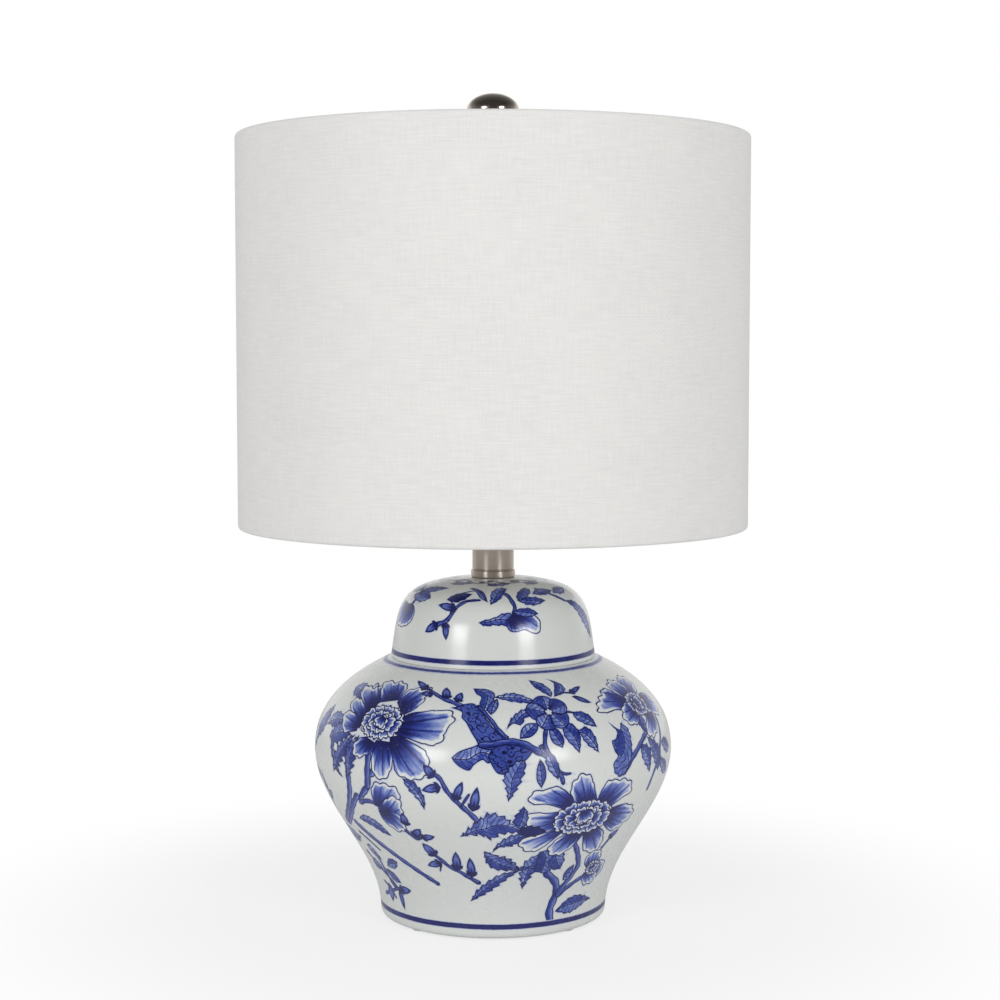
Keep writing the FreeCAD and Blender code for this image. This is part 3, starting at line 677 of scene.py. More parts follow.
black_plastic = moulded_finish("black plastic", tint(16, 16, 17), tint(30, 30, 32), 0.34, 0.25)
rubber_finish = moulded_finish("rubber", tint(26, 26, 26), tint(46, 45, 44), 0.72, 0.5, 40.0, 700.0, 0.0001, 0.4)
vulcan_card = moulded_finish("vulcan card", tint(52, 44, 38), tint(84, 72, 60),
                             0.66, 0.3, 90.0, 900.0, 0.00008, 0.4)
black_glass = moulded_finish("black glass", tint(10, 10, 12), tint(24, 22, 26), 0.12, 0.1, 30.0)
white_wire = moulded_finish("white painted wire", tint(218, 217, 213), tint(234, 233, 229),
                            0.38, 0.1, 60.0, 500.0)
styrene_liner = moulded_finish("styrene liner", tint(222, 221, 217), tint(234, 233, 229),
                               0.42, 0.15, 12.0, 260.0)
frosted_glass = moulded_finish("frosted bulb glass", tint(228, 229, 228), tint(240, 240, 238),
                               0.36, 0.1, 16.0, 300.0, bump=0.05)


def felt_finish():
    material, tree, shader = new_finish("felt", **{"Sheen Weight": 0.4, "Sheen Roughness": 0.5})
    place = object_place(tree)
    tufts = cloud(tree, place, 900.0, 5.0, 0.7)
    hairs = cloud(tree, place, 4200.0, 2.0, 0.6)
    feed(tree, shader.inputs["Base Color"], blend_colour(tree, tufts, tint(196, 194, 186), tint(222, 220, 213)))
    feed(tree, shader.inputs["Roughness"], tufts.rise(0.2, 0.8, 0.86, 1.0))
    raise_surface(tree, shader, tufts * 0.6 + hairs * 0.4, 0.6, 0.0003)
    return material


felt = felt_finish()
print("mouldings ready")

# %% [markdown]
# ## The painter's drawing
# Blue and white peonies, branches and buds are an old porcelain pattern, laid down with a transfer and a brush
# under the glaze. It could be a texture, but this part uses no pictures; it could be shapes in a shader, but a
# few hundred are too many. So the drawing is a list of strokes, each a closed rim in millimetres round a spot
# on the pot. The pot's skin is then cut into triangles along those rims, and every corner is told how far it
# is from the stroke's edge and where it lies on the petal or leaf. The shader does the brush work from that.
# %% Rims through points
def read_points(text):
    """Reads 'x,y x,y! ...' where a mark of exclamation makes a sharp corner."""
    words = text.split()
    points = [tuple(float(v) for v in word.rstrip("!").split(",")) for word in words]
    return np.array(points), [word.endswith("!") for word in words]


def smooth_run(points, step, closed=False):
    """Points about every step millimetres on a smooth line through the given ones, the last one left out."""
    if closed:
        padded = np.vstack([points[-1:], points, points[:2]])
    else:
        padded = np.vstack([2 * points[0] - points[1], points, 2 * points[-1] - points[-2]])
    found = []
    for a, b, c, d in zip(padded, padded[1:], padded[2:], padded[3:]):
        count = max(1, int(math.ceil(np.hypot(*(c - b)) / step)))
        t = np.arange(count)[:, None] / count
        found.append(0.5 * (2 * b + (c - a) * t + (2 * a - 5 * b + 4 * c - d) * t ** 2
                            + (3 * b - a - 3 * c + d) * t ** 3))
    return np.vstack(found)


def closed_rim(points, sharp, step=1.15):
    """A closed rim: smooth between its sharp corners, and round all over if it has none."""
    corners = [place for place, flag in enumerate(sharp) if flag]
    if not corners:
        return smooth_run(points, step, closed=True)
    ring = np.vstack([np.roll(points, -corners[0], axis=0), points[corners[0]]])
    ends = [place - corners[0] for place in corners] + [len(points)]
    return np.vstack([smooth_run(ring[a:b + 1], step) for a, b in zip(ends, ends[1:])])


# %% Strokes
drawing = []                     # the list that is being filled, first stroke first
KINDS = {"petal": 0, "leaf": 1, "stem": 2, "bark": 3, "bud": 4, "deep": 5}


def stroke(where, kind, rim, middle, tone=0.0):
    """Keeps a stroke: its rim and its middle line from base to tip, in millimetres round the spot."""
    drawing.append({"where": where, "kind": kind, "rim": rim, "middle": middle, "tone": tone})


def leaf(where, text, teeth=0.0, tone=0.0, kind="leaf"):
    """A leaf. Its first corner is the tip and its second sharp one the base. Teeth have a height."""
    points, sharp = read_points(text)
    sharp[0] = True
    base = next((place for place, flag in enumerate(sharp) if flag and place), len(points) // 2)
    sharp[base] = True
    upper = smooth_run(points[:base + 1], 1.1)
    lower = smooth_run(np.vstack([points[base:], points[:1]]), 1.1)
    count = 14
    pick_up = np.linspace(0, len(upper) - 1, count).astype(int)
    pick_down = np.linspace(len(lower) - 1, 0, count).astype(int)
    middle = (upper[pick_up] + lower[pick_down]) / 2
    middle[0], middle[-1] = points[0], points[base]
    rim = np.vstack([upper, lower])
    if teeth:
        outward = rim - np.array([middle[np.argmin(np.hypot(*(middle - p).T))] for p in rim])
        reach = np.maximum(np.hypot(*outward.T), 1e-6)
        saw = np.concatenate([(np.arange(len(upper)) % 5) / 4.0, (np.arange(len(lower))[::-1] % 5) / 4.0])
        rim = rim + outward / reach[:, None] * ((saw - 0.5) * teeth * np.minimum(reach / 3.0, 1.0))[:, None]
    stroke(where, kind, rim, middle[::-1], tone)


def petal(where, text, kind="petal", ruffle=0.0, tone=0.0):
    """A petal. Its first and last points are the two ends of its base."""
    points, sharp = read_points(text)
    sharp[0] = sharp[-1] = True
    rim = closed_rim(points, sharp)
    base = (points[0] + points[-1]) / 2
    tip = points[np.argmax(np.hypot(*(points - base).T))]
    if ruffle:
        outward = rim - base
        reach = np.maximum(np.hypot(*outward.T), 1e-6)
        along = np.concatenate([[0.0], np.cumsum(np.hypot(*np.diff(rim, axis=0).T))])
        wave = np.abs(np.sin(along / 7.5 * math.pi)) - 0.55
        far = np.clip((reach / reach.max() - 0.45) / 0.3, 0.0, 1.0)
        rim = rim + outward / reach[:, None] * (wave * ruffle * 1.5 * far)[:, None]
    stroke(where, kind, rim, np.array([base, base * 0.5 + tip * 0.5, tip]), tone)


def stem(where, text, thick, thin=None, kind="stem", tone=0.0):
    """A stem along points, from one thickness to another, with rounded ends."""
    points = read_points(text)[0]
    line = np.vstack([smooth_run(points, 1.3), points[-1:]])
    thin = thick if thin is None else thin
    along = np.gradient(line, axis=0)
    along /= np.hypot(*along.T)[:, None]
    side = np.column_stack([-along[:, 1], along[:, 0]])
    knots = 1.0 + 0.10 * np.sin(np.arange(len(line)) * 0.9 + line[0, 0])
    half = (np.linspace(thick, thin, len(line)) * knots / 2)[:, None]
    left, right = line + side * half, line - side * half
    tip, base = line[-1] + along[-1] * half[-1] * 0.8, line[0] - along[0] * half[0] * 0.8
    rim = np.vstack([left, tip, right[::-1], base])
    stroke(where, kind, rim, line[::3] if len(line) > 6 else line, tone)


def bud(where, foot, tip, width):
    """A closed bud on its calyx: a pointed oval with two short sepals at its foot."""
    foot, tip = np.array(foot, float), np.array(tip, float)
    along = tip - foot
    length = np.hypot(*along)
    along /= length
    side = np.array([-along[1], along[0]])

    def at(share, out):
        p = foot + along * length * share + side * out * width / 2
        return f"{p[0]:.2f},{p[1]:.2f}"

    petal_text = " ".join([at(1, 0) + "!", at(0.8, 0.55), at(0.5, 0.95), at(0.2, 0.8), at(0, 0) + "!",
                           at(0.2, -0.8), at(0.5, -0.95), at(0.8, -0.55)])
    leaf(where, petal_text, kind="bud")
    sepal_text = " ".join([at(-0.05, 0.1) + "!", at(0.12, 1.1), at(0.30, 1.25) + "!", at(0.24, 0.3),
                           at(0.46, 0.0) + "!", at(0.24, -0.3), at(0.30, -1.25) + "!", at(0.12, -1.1)])
    points, sharp = read_points(sepal_text)
    rim = closed_rim(points, sharp, 0.9)
    stroke(where, "deep", rim, np.array([foot, foot + along * length * 0.4]))


# one scalloped petal: across and up, in shares of its half width and its height
SCALLOP = [(-0.45, 0.0), (-0.95, 0.55), (-0.88, 0.86), (-0.58, 0.97), (-0.36, 0.86), (-0.1, 1.04),
           (0.16, 1.02), (0.36, 0.88), (0.62, 0.98), (0.92, 0.82), (0.98, 0.52), (0.45, 0.0)]


def ruffled_heart(where, centre, wide, high, turn=0.0, rings=3, size=9.0):
    """The crowded middle of a peony: rings of small scalloped petals, the inner ones laid on the outer."""
    cx, cy = centre
    for ring in range(rings):
        share = 1.0 - ring / rings
        count = max(3, int(round(math.pi * (wide + high) * share / size)))
        for step in range(count):
            sway = math.sin(step * 12.9 + ring * 4.7 + cx)
            angle = 2 * math.pi * (step + 0.5 * (ring % 2) + 0.16 * sway) / count + turn
            out = np.array([math.cos(angle), math.sin(angle)])
            side = np.array([-out[1], out[0]])
            mid = np.array([cx + wide * share * out[0], cy + high * share * out[1]])
            reach = size * (0.98 + 0.14 * sway)
            half = size * (0.66 + 0.06 * math.sin(step * 5.1))
            inner = mid - out * reach
            words = []
            for across, up in SCALLOP:
                p = inner + side * half * across + out * reach * up
                words.append(f"{p[0]:.2f},{p[1]:.2f}")
            petal(where, " ".join(words), tone=0.30 + 0.12 * ((step * 7 + ring * 3) % 5))


print("brush ready")

# %% From the flat drawing to the pot
AROUND = 100.0                   # millimetres of flat drawing for one radian round the pot
INNER_LINE = 0.75                # a line of points this far inside a rim holds the dark outline
OUTER_LINE = 1.1                 # and one this far outside holds the bleed
FAR_OFF = (1e6, 1e6, 0.0)        # keeps a search tree from being empty


def on_drawing(ground, where, points):
    """Places points round a spot on the flat drawing: across is the angle, up is the length of outline."""
    along = np.interp(where[1], ground["height"], ground["along"]) + points[:, 1]
    reach = np.interp(along, ground["along"], ground["radius"])
    return np.column_stack([(math.radians(where[0]) + points[:, 0] / reach) * AROUND, along])


def round_spot(ground, where, flat):
    """The reverse of on_drawing: where flat points lie round a spot, the short way round the pot."""
    reach = np.interp(flat[:, 1], ground["along"], ground["radius"])
    turn = flat[:, 0] / AROUND - math.radians(where[0])
    turn = (turn + math.pi) % (2 * math.pi) - math.pi
    spot_along = np.interp(where[1], ground["height"], ground["along"])
    return np.column_stack([turn * reach, flat[:, 1] - spot_along])


def on_pot(ground, flat):
    """Lifts flat points on to the pot, in millimetres."""
    turn = flat[:, 0] / AROUND
    reach = np.interp(flat[:, 1], ground["along"], ground["radius"])
    height = np.interp(flat[:, 1], ground["along"], ground["height"])
    return np.column_stack([reach * np.sin(turn), -reach * np.cos(turn), height])


def inside(points, rim):
    """Which points lie within a closed rim."""
    found = np.zeros(len(points), dtype=bool)
    x, y = points[:, 0], points[:, 1]
    for a, b in zip(rim, np.roll(rim, -1, axis=0)):
        if a[1] == b[1]:
            continue
        crosses = (a[1] > y) != (b[1] > y)
        found ^= crosses & (x < (b[0] - a[0]) * (y - a[1]) / (b[1] - a[1]) + a[0])
    return found


def nearest(points, line, closed):
    """Distance to a line, the side it is on, and how far along the line the nearest place is."""
    ends = np.roll(line, -1, axis=0) if closed else line[1:]
    starts = line if closed else line[:-1]
    run = ends - starts
    length = np.maximum(np.hypot(*run.T), 1e-9)
    travelled = np.concatenate([[0.0], np.cumsum(length)])[:-1]
    offset = points[:, None, :] - starts[None, :, :]
    share = np.clip((offset * run).sum(2) / length ** 2, 0.0, 1.0)
    away = offset - run * share[..., None]
    distance = np.hypot(away[..., 0], away[..., 1])
    best = distance.argmin(axis=1)
    row = np.arange(len(points))
    side = run[best, 0] * offset[row, best, 1] - run[best, 1] * offset[row, best, 0]
    return distance[row, best], np.sign(side), travelled[best] + share[row, best] * length[best]


def hex_grid(low, high, gap):
    """Points on a six-sided grid over a box."""
    found = []
    for row, y in enumerate(np.arange(low[1], high[1], gap * 0.866)):
        across = np.arange(low[0] + (row % 2) * gap / 2, high[0], gap)
        found.append(np.column_stack([across, np.full(len(across), y)]))
    return np.vstack(found) if found else np.zeros((0, 2))


def skin(ground, strokes, first_turn, steps, open_gap, stroke_gap, holes=()):
    """Cuts the flat ground into triangles along every stroke, and lifts it on to the pot.

    Returns points in millimetres, triangles, and for each corner its brush and size values."""
    left = math.radians(first_turn) * AROUND
    wide = 2 * math.pi * AROUND
    foot, top = ground["along"][0], ground["along"][-1]
    across = left + wide * np.arange(steps + 1) / steps
    rows = np.linspace(foot, top, max(2, int((top - foot) / open_gap)) + 1)
    border = [(x, foot) for x in across] + [(across[-1], y) for y in rows[1:]]
    border += [(x, top) for x in across[-2::-1]] + [(across[0], y) for y in rows[-2:0:-1]]
    points = [np.array(border)]
    rings = [list(range(len(border)))]
    owners = [-1]
    count = len(border)

    def add_ring(flat, owner):
        """Adds a closed ring, turned anticlockwise, because the cutter fills the left side of its edges."""
        nonlocal count
        after = np.roll(flat, -1, axis=0)
        if (flat[:, 0] * after[:, 1] - flat[:, 1] * after[:, 0]).sum() < 0:
            flat = flat[::-1]
        points.append(flat)
        rings.append(list(range(count, count + len(flat))))
        owners.append(owner)
        count += len(flat)

    flats = [on_drawing(ground, s["where"], s["rim"]) for s in strokes]
    boxes = [(f.min(axis=0), f.max(axis=0)) for f in flats]
    extra, halo = [], []
    for place, (s, flat) in enumerate(zip(strokes, flats)):
        rim = s["rim"]
        grid = hex_grid(rim.min(axis=0), rim.max(axis=0), stroke_gap)
        grid = grid[inside(grid, rim)] if len(grid) else grid
        if len(grid):
            grid = grid[nearest(grid, rim, True)[0] > 0.55 * stroke_gap]
        run = np.roll(rim, -1, axis=0) - np.roll(rim, 1, axis=0)
        normal = np.column_stack([-run[:, 1], run[:, 0]]) / np.maximum(np.hypot(*run.T), 1e-9)[:, None]
        both = np.vstack([rim + normal * INNER_LINE, rim - normal * INNER_LINE])
        both = both[inside(both, rim)]
        if len(both):
            both = both[nearest(both, rim, True)[0] > 0.8 * INNER_LINE]
        fringe = np.vstack([rim[::2] + normal[::2] * OUTER_LINE, rim[::2] - normal[::2] * OUTER_LINE])
        fringe = fringe[~inside(fringe, rim)]
        fringe = fringe[nearest(fringe, rim, True)[0] > 1.0]
        halo.append(on_drawing(ground, s["where"], fringe))
        fresh = np.vstack([grid, both]) if len(both) else grid
        if not len(fresh):
            continue
        spots = on_drawing(ground, s["where"], fresh)
        for later in range(place + 1, len(strokes)):
            low, high = boxes[later]
            if not len(spots) or (low > spots.max(axis=0)).any() or (high < spots.min(axis=0)).any():
                continue
            spots = spots[~inside(spots, flats[later])]
        extra.append(spots)
    for spots in halo:
        for flat, (low, high) in zip(flats, boxes):
            if len(spots) and (low <= spots.max(axis=0)).all() and (high >= spots.min(axis=0)).all():
                spots = spots[~inside(spots, flat)]
        extra.append(spots)
    extra = np.vstack(extra) if extra else np.zeros((0, 2))
    extra[:, 0] = (extra[:, 0] - left) % wide + left

    for place, flat in enumerate(flats):
        for shift in (-wide, 0.0, wide):
            moved = flat + (shift, 0.0)
            if moved[:, 0].max() > left + 0.01 and moved[:, 0].min() < left + wide - 0.01:
                add_ring(moved, place)
    for hole in holes:
        add_ring(hole, -2)

    ground_points = hex_grid((left + 1.5, foot + 1.5), (left + wide - 1.5, top - 1.5), open_gap)
    tree = KDTree(len(extra) + 1)
    for place, spot in enumerate(extra):
        tree.insert((spot[0], spot[1], 0.0), place)
    tree.insert(FAR_OFF, len(extra))
    tree.balance()
    ground_points = np.array([p for p in ground_points
                              if tree.find((p[0], p[1], 0.0))[2] > open_gap * 0.55])
    extra = extra[(extra[:, 0] > left + 0.4) & (extra[:, 0] < left + wide - 0.4)
                  & (extra[:, 1] > foot + 0.4) & (extra[:, 1] < top - 0.4)]
    points.extend([extra, ground_points])
    everything = np.vstack(points)
    found = delaunay_2d_cdt([Vector(p) for p in everything], [], rings, 1, 1e-4, True)
    flat = np.array([tuple(p) for p in found[0]])
    triangles, tops = [], []
    for triangle, sources in zip(found[2], found[5]):
        named = [owners[source] for source in sources]
        if -1 not in named or -2 in named:
            continue
        triangles.append(triangle)
        tops.append(max(named))
    triangles, tops = np.array(triangles), np.array(tops)
    brush = np.zeros((len(triangles), 3, 3))
    size = np.zeros((len(triangles), 3, 3))
    rim_tree = KDTree(max(1, sum(len(f) for f in flats)))
    if flats:
        for place, spot in enumerate(np.vstack(flats)):
            rim_tree.insert(((spot[0] - left) % wide + left, spot[1], 0.0), place)
    else:
        rim_tree.insert(FAR_OFF, 0)
    rim_tree.balance()
    for owner in np.unique(tops):
        rows = np.nonzero(tops == owner)[0]
        corners = flat[triangles[rows].ravel()]
        if owner < 0:
            gap = np.array([rim_tree.find((p[0], p[1], 0.0))[2] for p in corners])
            brush[rows] = np.column_stack([gap * 0, gap * 0, -np.minimum(gap, 3.0)]).reshape(-1, 3, 3)
            size[rows] = (1.0, 1.0, -1.0)
            continue
        s = strokes[owner]
        local = round_spot(ground, s["where"], corners)
        edge = nearest(local, s["rim"], True)[0]
        reach = float(np.hypot(*np.diff(s["middle"], axis=0).T).sum())
        if s["kind"] == "petal":
            base = s["middle"][0] - (s["middle"][-1] - s["middle"][0]) * 0.35
            spread = local - base
            aim = s["middle"][-1] - base
            angle = np.arctan2(aim[0] * spread[:, 1] - aim[1] * spread[:, 0], spread @ aim)
            values = np.column_stack([angle * 10.0, np.hypot(*(local - s["middle"][0]).T), edge])
        else:
            away, side, along = nearest(local, s["middle"], False)
            values = np.column_stack([away * side, along, edge])
        half_wide = max(nearest(s["middle"], s["rim"], True)[0].max(), 0.5)
        brush[rows] = values.reshape(-1, 3, 3)
        size[rows] = (half_wide, max(reach, 1.0), KINDS[s["kind"]] + 0.1 + 0.8 * (s["tone"] % 1.0))
    return on_pot(ground, flat), triangles, brush.reshape(-1, 3), size.reshape(-1, 3)


print("skin cutter ready")

# %% [markdown]
# ## The layout
# The drawing follows the photograph's places: a peony spray on the left, a branch that crosses the middle
# with a pomegranate flower beside it, a second peony low on the right with its leaves and buds, and buds near
# the foot. Each spot is an angle round the pot and a height; points round it are millimetres to the right and
# up. What lies behind is painted first. A transfer is used twice on such a jar, so the back carries the same
# drawing half a turn on, with a small spray over each seam where the two meet.
# %% The left peony and its stems
def left_peony(turn):
    spot = (turn - 40.0, 138.0)
    low = (turn - 45.0, 75.0)
    stem(low, "14,46 12,38 8,35 6,28 0,22 -4,17", 5.0, 4.4)
    stem(low, "-14,52 -12,42 -12,35 -12,27 -14,20 -20,10 -30,0 -38,-7", 5.4, 4.4)
    stem(low, "-6,20 -14,12 -24,1 -35,-8", 4.6, 4.0, tone=0.3)
    leaf(low, "-34,56! -30,48 -26,40 -22,34 -18,30! -24,32 -31,40 -35,49", 1.4, 0.5)
    stem(spot, "-3,-14 -3,-24 -4,-40", 5.0, 4.6)
    leaf(spot, "-48,22! -42,27 -34,27 -26,22 -20,14! -28,15 -37,16 -43,17", 1.6, 0.3)
    leaf(spot, "-58,-8! -54,0 -47,3 -40,2 -34,-2! -40,-6 -47,-8 -53,-7", 1.2, 0.1)
    leaf(spot, "-49,-14! -44,-6 -38,-3 -30,-4 -22,-9! -30,-14 -38,-17 -43,-17", 2.4, 0.6)
    leaf(spot, "-40,-35! -39,-26 -35,-18 -28,-12 -18,-8! -22,-16 -27,-24 -32,-30", 3.2, 0.7)
    leaf(spot, "-22,-36! -25,-28 -25,-20 -20,-12 -14,-8! -13,-16 -15,-24 -18,-31", 3.0, 0.9)
    petal(spot, "-12,12 -20,18 -27,26 -25,30 -20,29 -15,32 -10,29 -6,20", ruffle=1.6, tone=0.8)
    petal(spot, "-12,4 -24,12 -33,18 -36,24 -31,27 -25,26 -22,28 -16,22 -10,14", ruffle=1.8, tone=0.9)
    petal(spot, "-16,-4 -24,-2 -30,4 -36,8 -38,13 -33,16 -27,15 -18,10 -13,6", ruffle=1.4, tone=0.6)
    petal(spot, "-18,-6 -26,-8 -31,-9 -35,-5 -38,-1 -38,4 -33,6 -26,5 -16,3", ruffle=1.0, tone=0.2)
    petal(spot, "-9,16 -14,22 -18,28 -19,32 -15,35 -9,34 -5,36 0,34 4,31 4,26 5,20", ruffle=1.2, tone=0.5)
    petal(spot, "4,18 4,24 7,30 12,32 15,31 18,33 22,32 24,28 22,25 22,19 19,13 14,9", ruffle=1.4, tone=0.7)
    petal(spot, "13,8 20,12 27,13.5 33,15 38,15 42,16 46,13 49,9 49,5 47,2 48,-3 45,-8 40,-9 33,-8 24,-6 14,-4",
          ruffle=1.2, tone=0.4)
    petal(spot, "-8,-8 -14,-10 -18,-15 -17,-20 -12,-22 -6,-20 0,-17 2,-11", ruffle=1.2, tone=0.9)
    petal(spot, "1,-9 0,-17 0,-25 3,-31 8,-33 13,-31 16,-26 17,-19 14,-9", ruffle=0.8, tone=0.3)
    petal(spot, "11,-6 14,-14 17,-21 19,-27 25,-30 32,-31 38,-29 42,-26 42,-19 39,-13 34,-10 26,-7 18,-4",
          ruffle=1.0, tone=0.5)
    ruffled_heart(spot, (0.0, 3.0), 17.0, 12.0, 0.2)
    leaf(spot, "36,-50! 33,-43 27,-36 24,-30! 31,-31 36,-36 38,-43", 1.2, 0.4)
    stem(low, "-5,15 1,17 6,17.5 10,16", 3.4, 3.0)
    petal(low, "9,15 8,21 9,27 12,31 18,32 24,31 29,30 31,26 30,20 28,15 25,9 18,11", ruffle=1.0, tone=0.5)
    petal(low, "10,13 15,18 20,22 25,24 30,22 30,15 28,8 22,6", ruffle=1.2, tone=0.2)
    petal(low, "10,12 11,5 15,0 20,-3 25,-2 28,2 29,7 26,11 18,14", ruffle=1.2, tone=0.7)
    leaf(low, "-14,1! -8,5 -2,5 6,1 12,-8! 6,-7 -2,-3 -8,-1", 0.8, 0.3)
    stem(low, "26,-1 28,-4 31,-7 34,-6 37,-5", 3.0, 2.4, tone=0.5)
    bud(low, (30, -5), (37.5, 1.5), 5.4)
    bud(low, (35, -6), (45, -3.5), 5.0)
    bud(low, (28, 3), (29, 13), 6.0)


def left_foot(turn):
    spot = (turn - 45.0, 35.0)
    stem(spot, "-22,43 -12,35 0,26 10,18 20,10 27,4.5 30,2", 4.8, 3.6, tone=0.45)
    stem(spot, "-24,34 -16,29 -8,22", 2.6, 1.6, tone=0.5)
    stem(spot, "-30,16 -20,6 -10,-4 -6,-9", 3.0, 2.6)
    stem(spot, "-20,24 -16,14 -14,4 -12,-4 -9,-9", 2.6, 2.4)
    stem(spot, "-26,-16 -16,-12 -6,-8 0,-8", 2.6, 2.2)
    stem(spot, "-22,-6 -16,-10 -12,-16", 2.4, 2.0)
    leaf(spot, "-24,23! -20,24 -15,20 -12,13! -17,14 -22,18", 0.6, 0.2)
    leaf(spot, "4,15! 0,17 -5,15 -9,9! -4,8 1,10", 0.6, 0.6)
    leaf(spot, "-1,-3! -4,3 -9,6 -13,6! -11,1 -7,-3", 0.6, 0.8)
    leaf(spot, "-28,8! -24,12 -19,10 -16,5! -21,3 -26,4", 0.6, 0.4)
    bud(spot, (-5, -8.5), (6, -7), 6.0)
    leaf(spot, "-4.5,-23! -3.5,-17 -4,-10 -6,-8! -8,-13 -7,-19", 0.0, 0.5, "bud")
    leaf(spot, "-17,-20! -14,-15 -14,-9 -17,-6! -20,-11 -20,-16", 0.0, 0.3, "bud")


# %% The branch and the pomegranate flower
def branch(turn):
    spot = (turn, 135.0)
    stem(spot, "-42,36 -37,32 -31,28 -24,25 -18,22", 2.6, 3.8)
    bud(spot, (-42, 35), (-50, 42), 5.4)
    bud(spot, (-38, 31), (-47, 31), 4.8)
    bud(spot, (-29, 28), (-29, 38), 6.2)
    bud(spot, (-22, 26), (-19, 34), 5.4)
    leaf(spot, "-12,38! -10,33 -7,30 -8,24 -5,18! -1,22 1,28 1,34 -4,37.5", 0.0, 0.5)
    leaf(spot, "3,29! 3.8,24 2,19 -1,16! -3.5,20 -1,26", 0.0, 0.3)
    stem(spot, "-9,23 -5,18 0,11 4,5 9,0", 2.6, 3.2, tone=0.2)
    leaf(spot, "-25,-12! -20,-8 -12,-5 -6,-3 2,-6 6,-10! -2,-15 -6,-13 "
         "-11,-16 -14,-19.5! -19,-18 -23,-15", 0.0, 0.2)
    points, sharp = read_points("-26,21! -22,22 -18,24 -12,25 -9,22 -5,16 0,8 5,3 10,-2! 4,-6 -3,-7 -8,-5 "
                                "-10,-1 -13,4 -16,10 -19,14 -19,18")
    stroke(spot, "bark", closed_rim(points, sharp), np.array([(-20.0, 22.0), (-10.0, 8.0), (2.0, -5.0)]), 0.3)
    points, sharp = read_points("-3,-11! 0,-6 6,-4 14,-3 20,-5 25,-7 22,-12 18,-15 12,-18 7,-22! 3,-21 0,-17")
    stroke(spot, "bark", closed_rim(points, sharp), np.array([(0.0, -10.0), (10.0, -10.0), (22.0, -8.0)]), 0.8)
    stem(spot, "-8,-4 0,-3.5 8,-2 16,-2.5 22,-5 27,-8 31,-10", 4.2, 4.4, tone=0.6)
    stem(spot, "31,-10 35,-13 39,-18 42,-23", 3.4, 3.0)
    stem(spot, "41,-22 43,-25 44,-29", 3.6, 2.6)
    stem(spot, "41,-21 45,-23 49,-23", 2.4, 1.6)
    leaf(spot, "30,-31! 27,-26 27,-19 29,-13! 32,-17 33,-24", 0.0, 0.6)
    leaf(spot, "9.5,-39! 8,-30 6.5,-24 9,-19 14,-14 20,-13! 20,-19 17,-27 13,-34", 1.6, 0.3)
    leaf(spot, "36,-11! 33,-7 31,-4 28,-5! 30,-9 33,-11", 0.0, 0.5)


def pomegranate_flower(turn):
    spot = (turn + 22.0, 146.0)
    leaf(spot, "-34,16.5! -28,19 -20,20 -12,15 -9,11! -15,11 -25,13", 0.9, 0.4)
    leaf(spot, "-33,-8! -28,0 -20,6 -12,8! -14,3 -20,-1 -23,-5! -28,-4", 0.9, 0.6)
    leaf(spot, "-26,-14! -24,-8 -19,-4 -12,-4! -14,-9 -19,-13", 0.0, 0.3)
    leaf(spot, "-7,32! -6,25 -1,18 2,15! 4,20 1,27 -3,30", 0.6, 0.5)
    leaf(spot, "5,32! 8,27 6,21 4,15! 10,17 14,21 12,27", 0.6, 0.7)
    leaf(spot, "11,-25! 3,-15 2,-6! 8,-5 13,-11 13,-18", 0.6, 0.4)
    leaf(spot, "0,-21! -6,-17 -7,-10 -4,-6! 0,-10 2,-16", 0.0, 0.8)
    leaf(spot, "27,-10! 20,-8 13,-3 12,2! 18,2 24,-2", 0.6, 0.5)
    leaf(spot, "25,-26! 17,-20 12,-11! 19,-9 24,-16", 0.8, 0.2)
    stem(spot, "4,2 9,2.5 13,1.5", 2.0, 1.6)
    stem(spot, "8,17 12,18 17,17", 1.8, 1.4)
    bud(spot, (16, 17), (26, 22), 4.2)
    leaf(spot, "29,7.5! 24,12 19,14.5 16,14! 20,10 25,7.5", 0.0, 0.5, "bud")
    stem(spot, "-8,-7 -10,-13 -11,-19 -9,-24", 2.8, 3.0)
    leaf(spot, "-4,-40! -10,-34 -12,-27 -9,-22! -5,-27 -3,-34", 0.6, 0.5)
    mid = np.array([-3.5, 3.5])
    for step in range(5):
        angle = math.radians(100 + 72 * step)
        out = np.array([math.cos(angle), math.sin(angle)])
        side = np.array([-out[1], out[0]])
        words = []
        for across, up in ((-0.35, 2.0), (-1.0, 7.0), (-0.85, 11.0), (-0.3, 13.2), (0.3, 13.0), (0.9, 10.5),
                           (1.0, 7.0), (0.35, 2.0)):
            p = mid + side * 6.6 * across + out * up * (1.0 + (0.06 * step) % 0.1)
            words.append(f"{p[0]:.2f},{p[1]:.2f}")
        petal(spot, " ".join(words), "leaf", tone=0.35 + 0.1 * step)
    for step in range(5):
        angle = math.radians(126 + 72 * step)
        out = np.array([math.cos(angle), math.sin(angle)])
        near, tip = mid + out * 2.0, mid + out * 8.5
        stem(spot, f"{near[0]:.2f},{near[1]:.2f} {tip[0]:.2f},{tip[1]:.2f}", 1.5, 0.9, "deep")


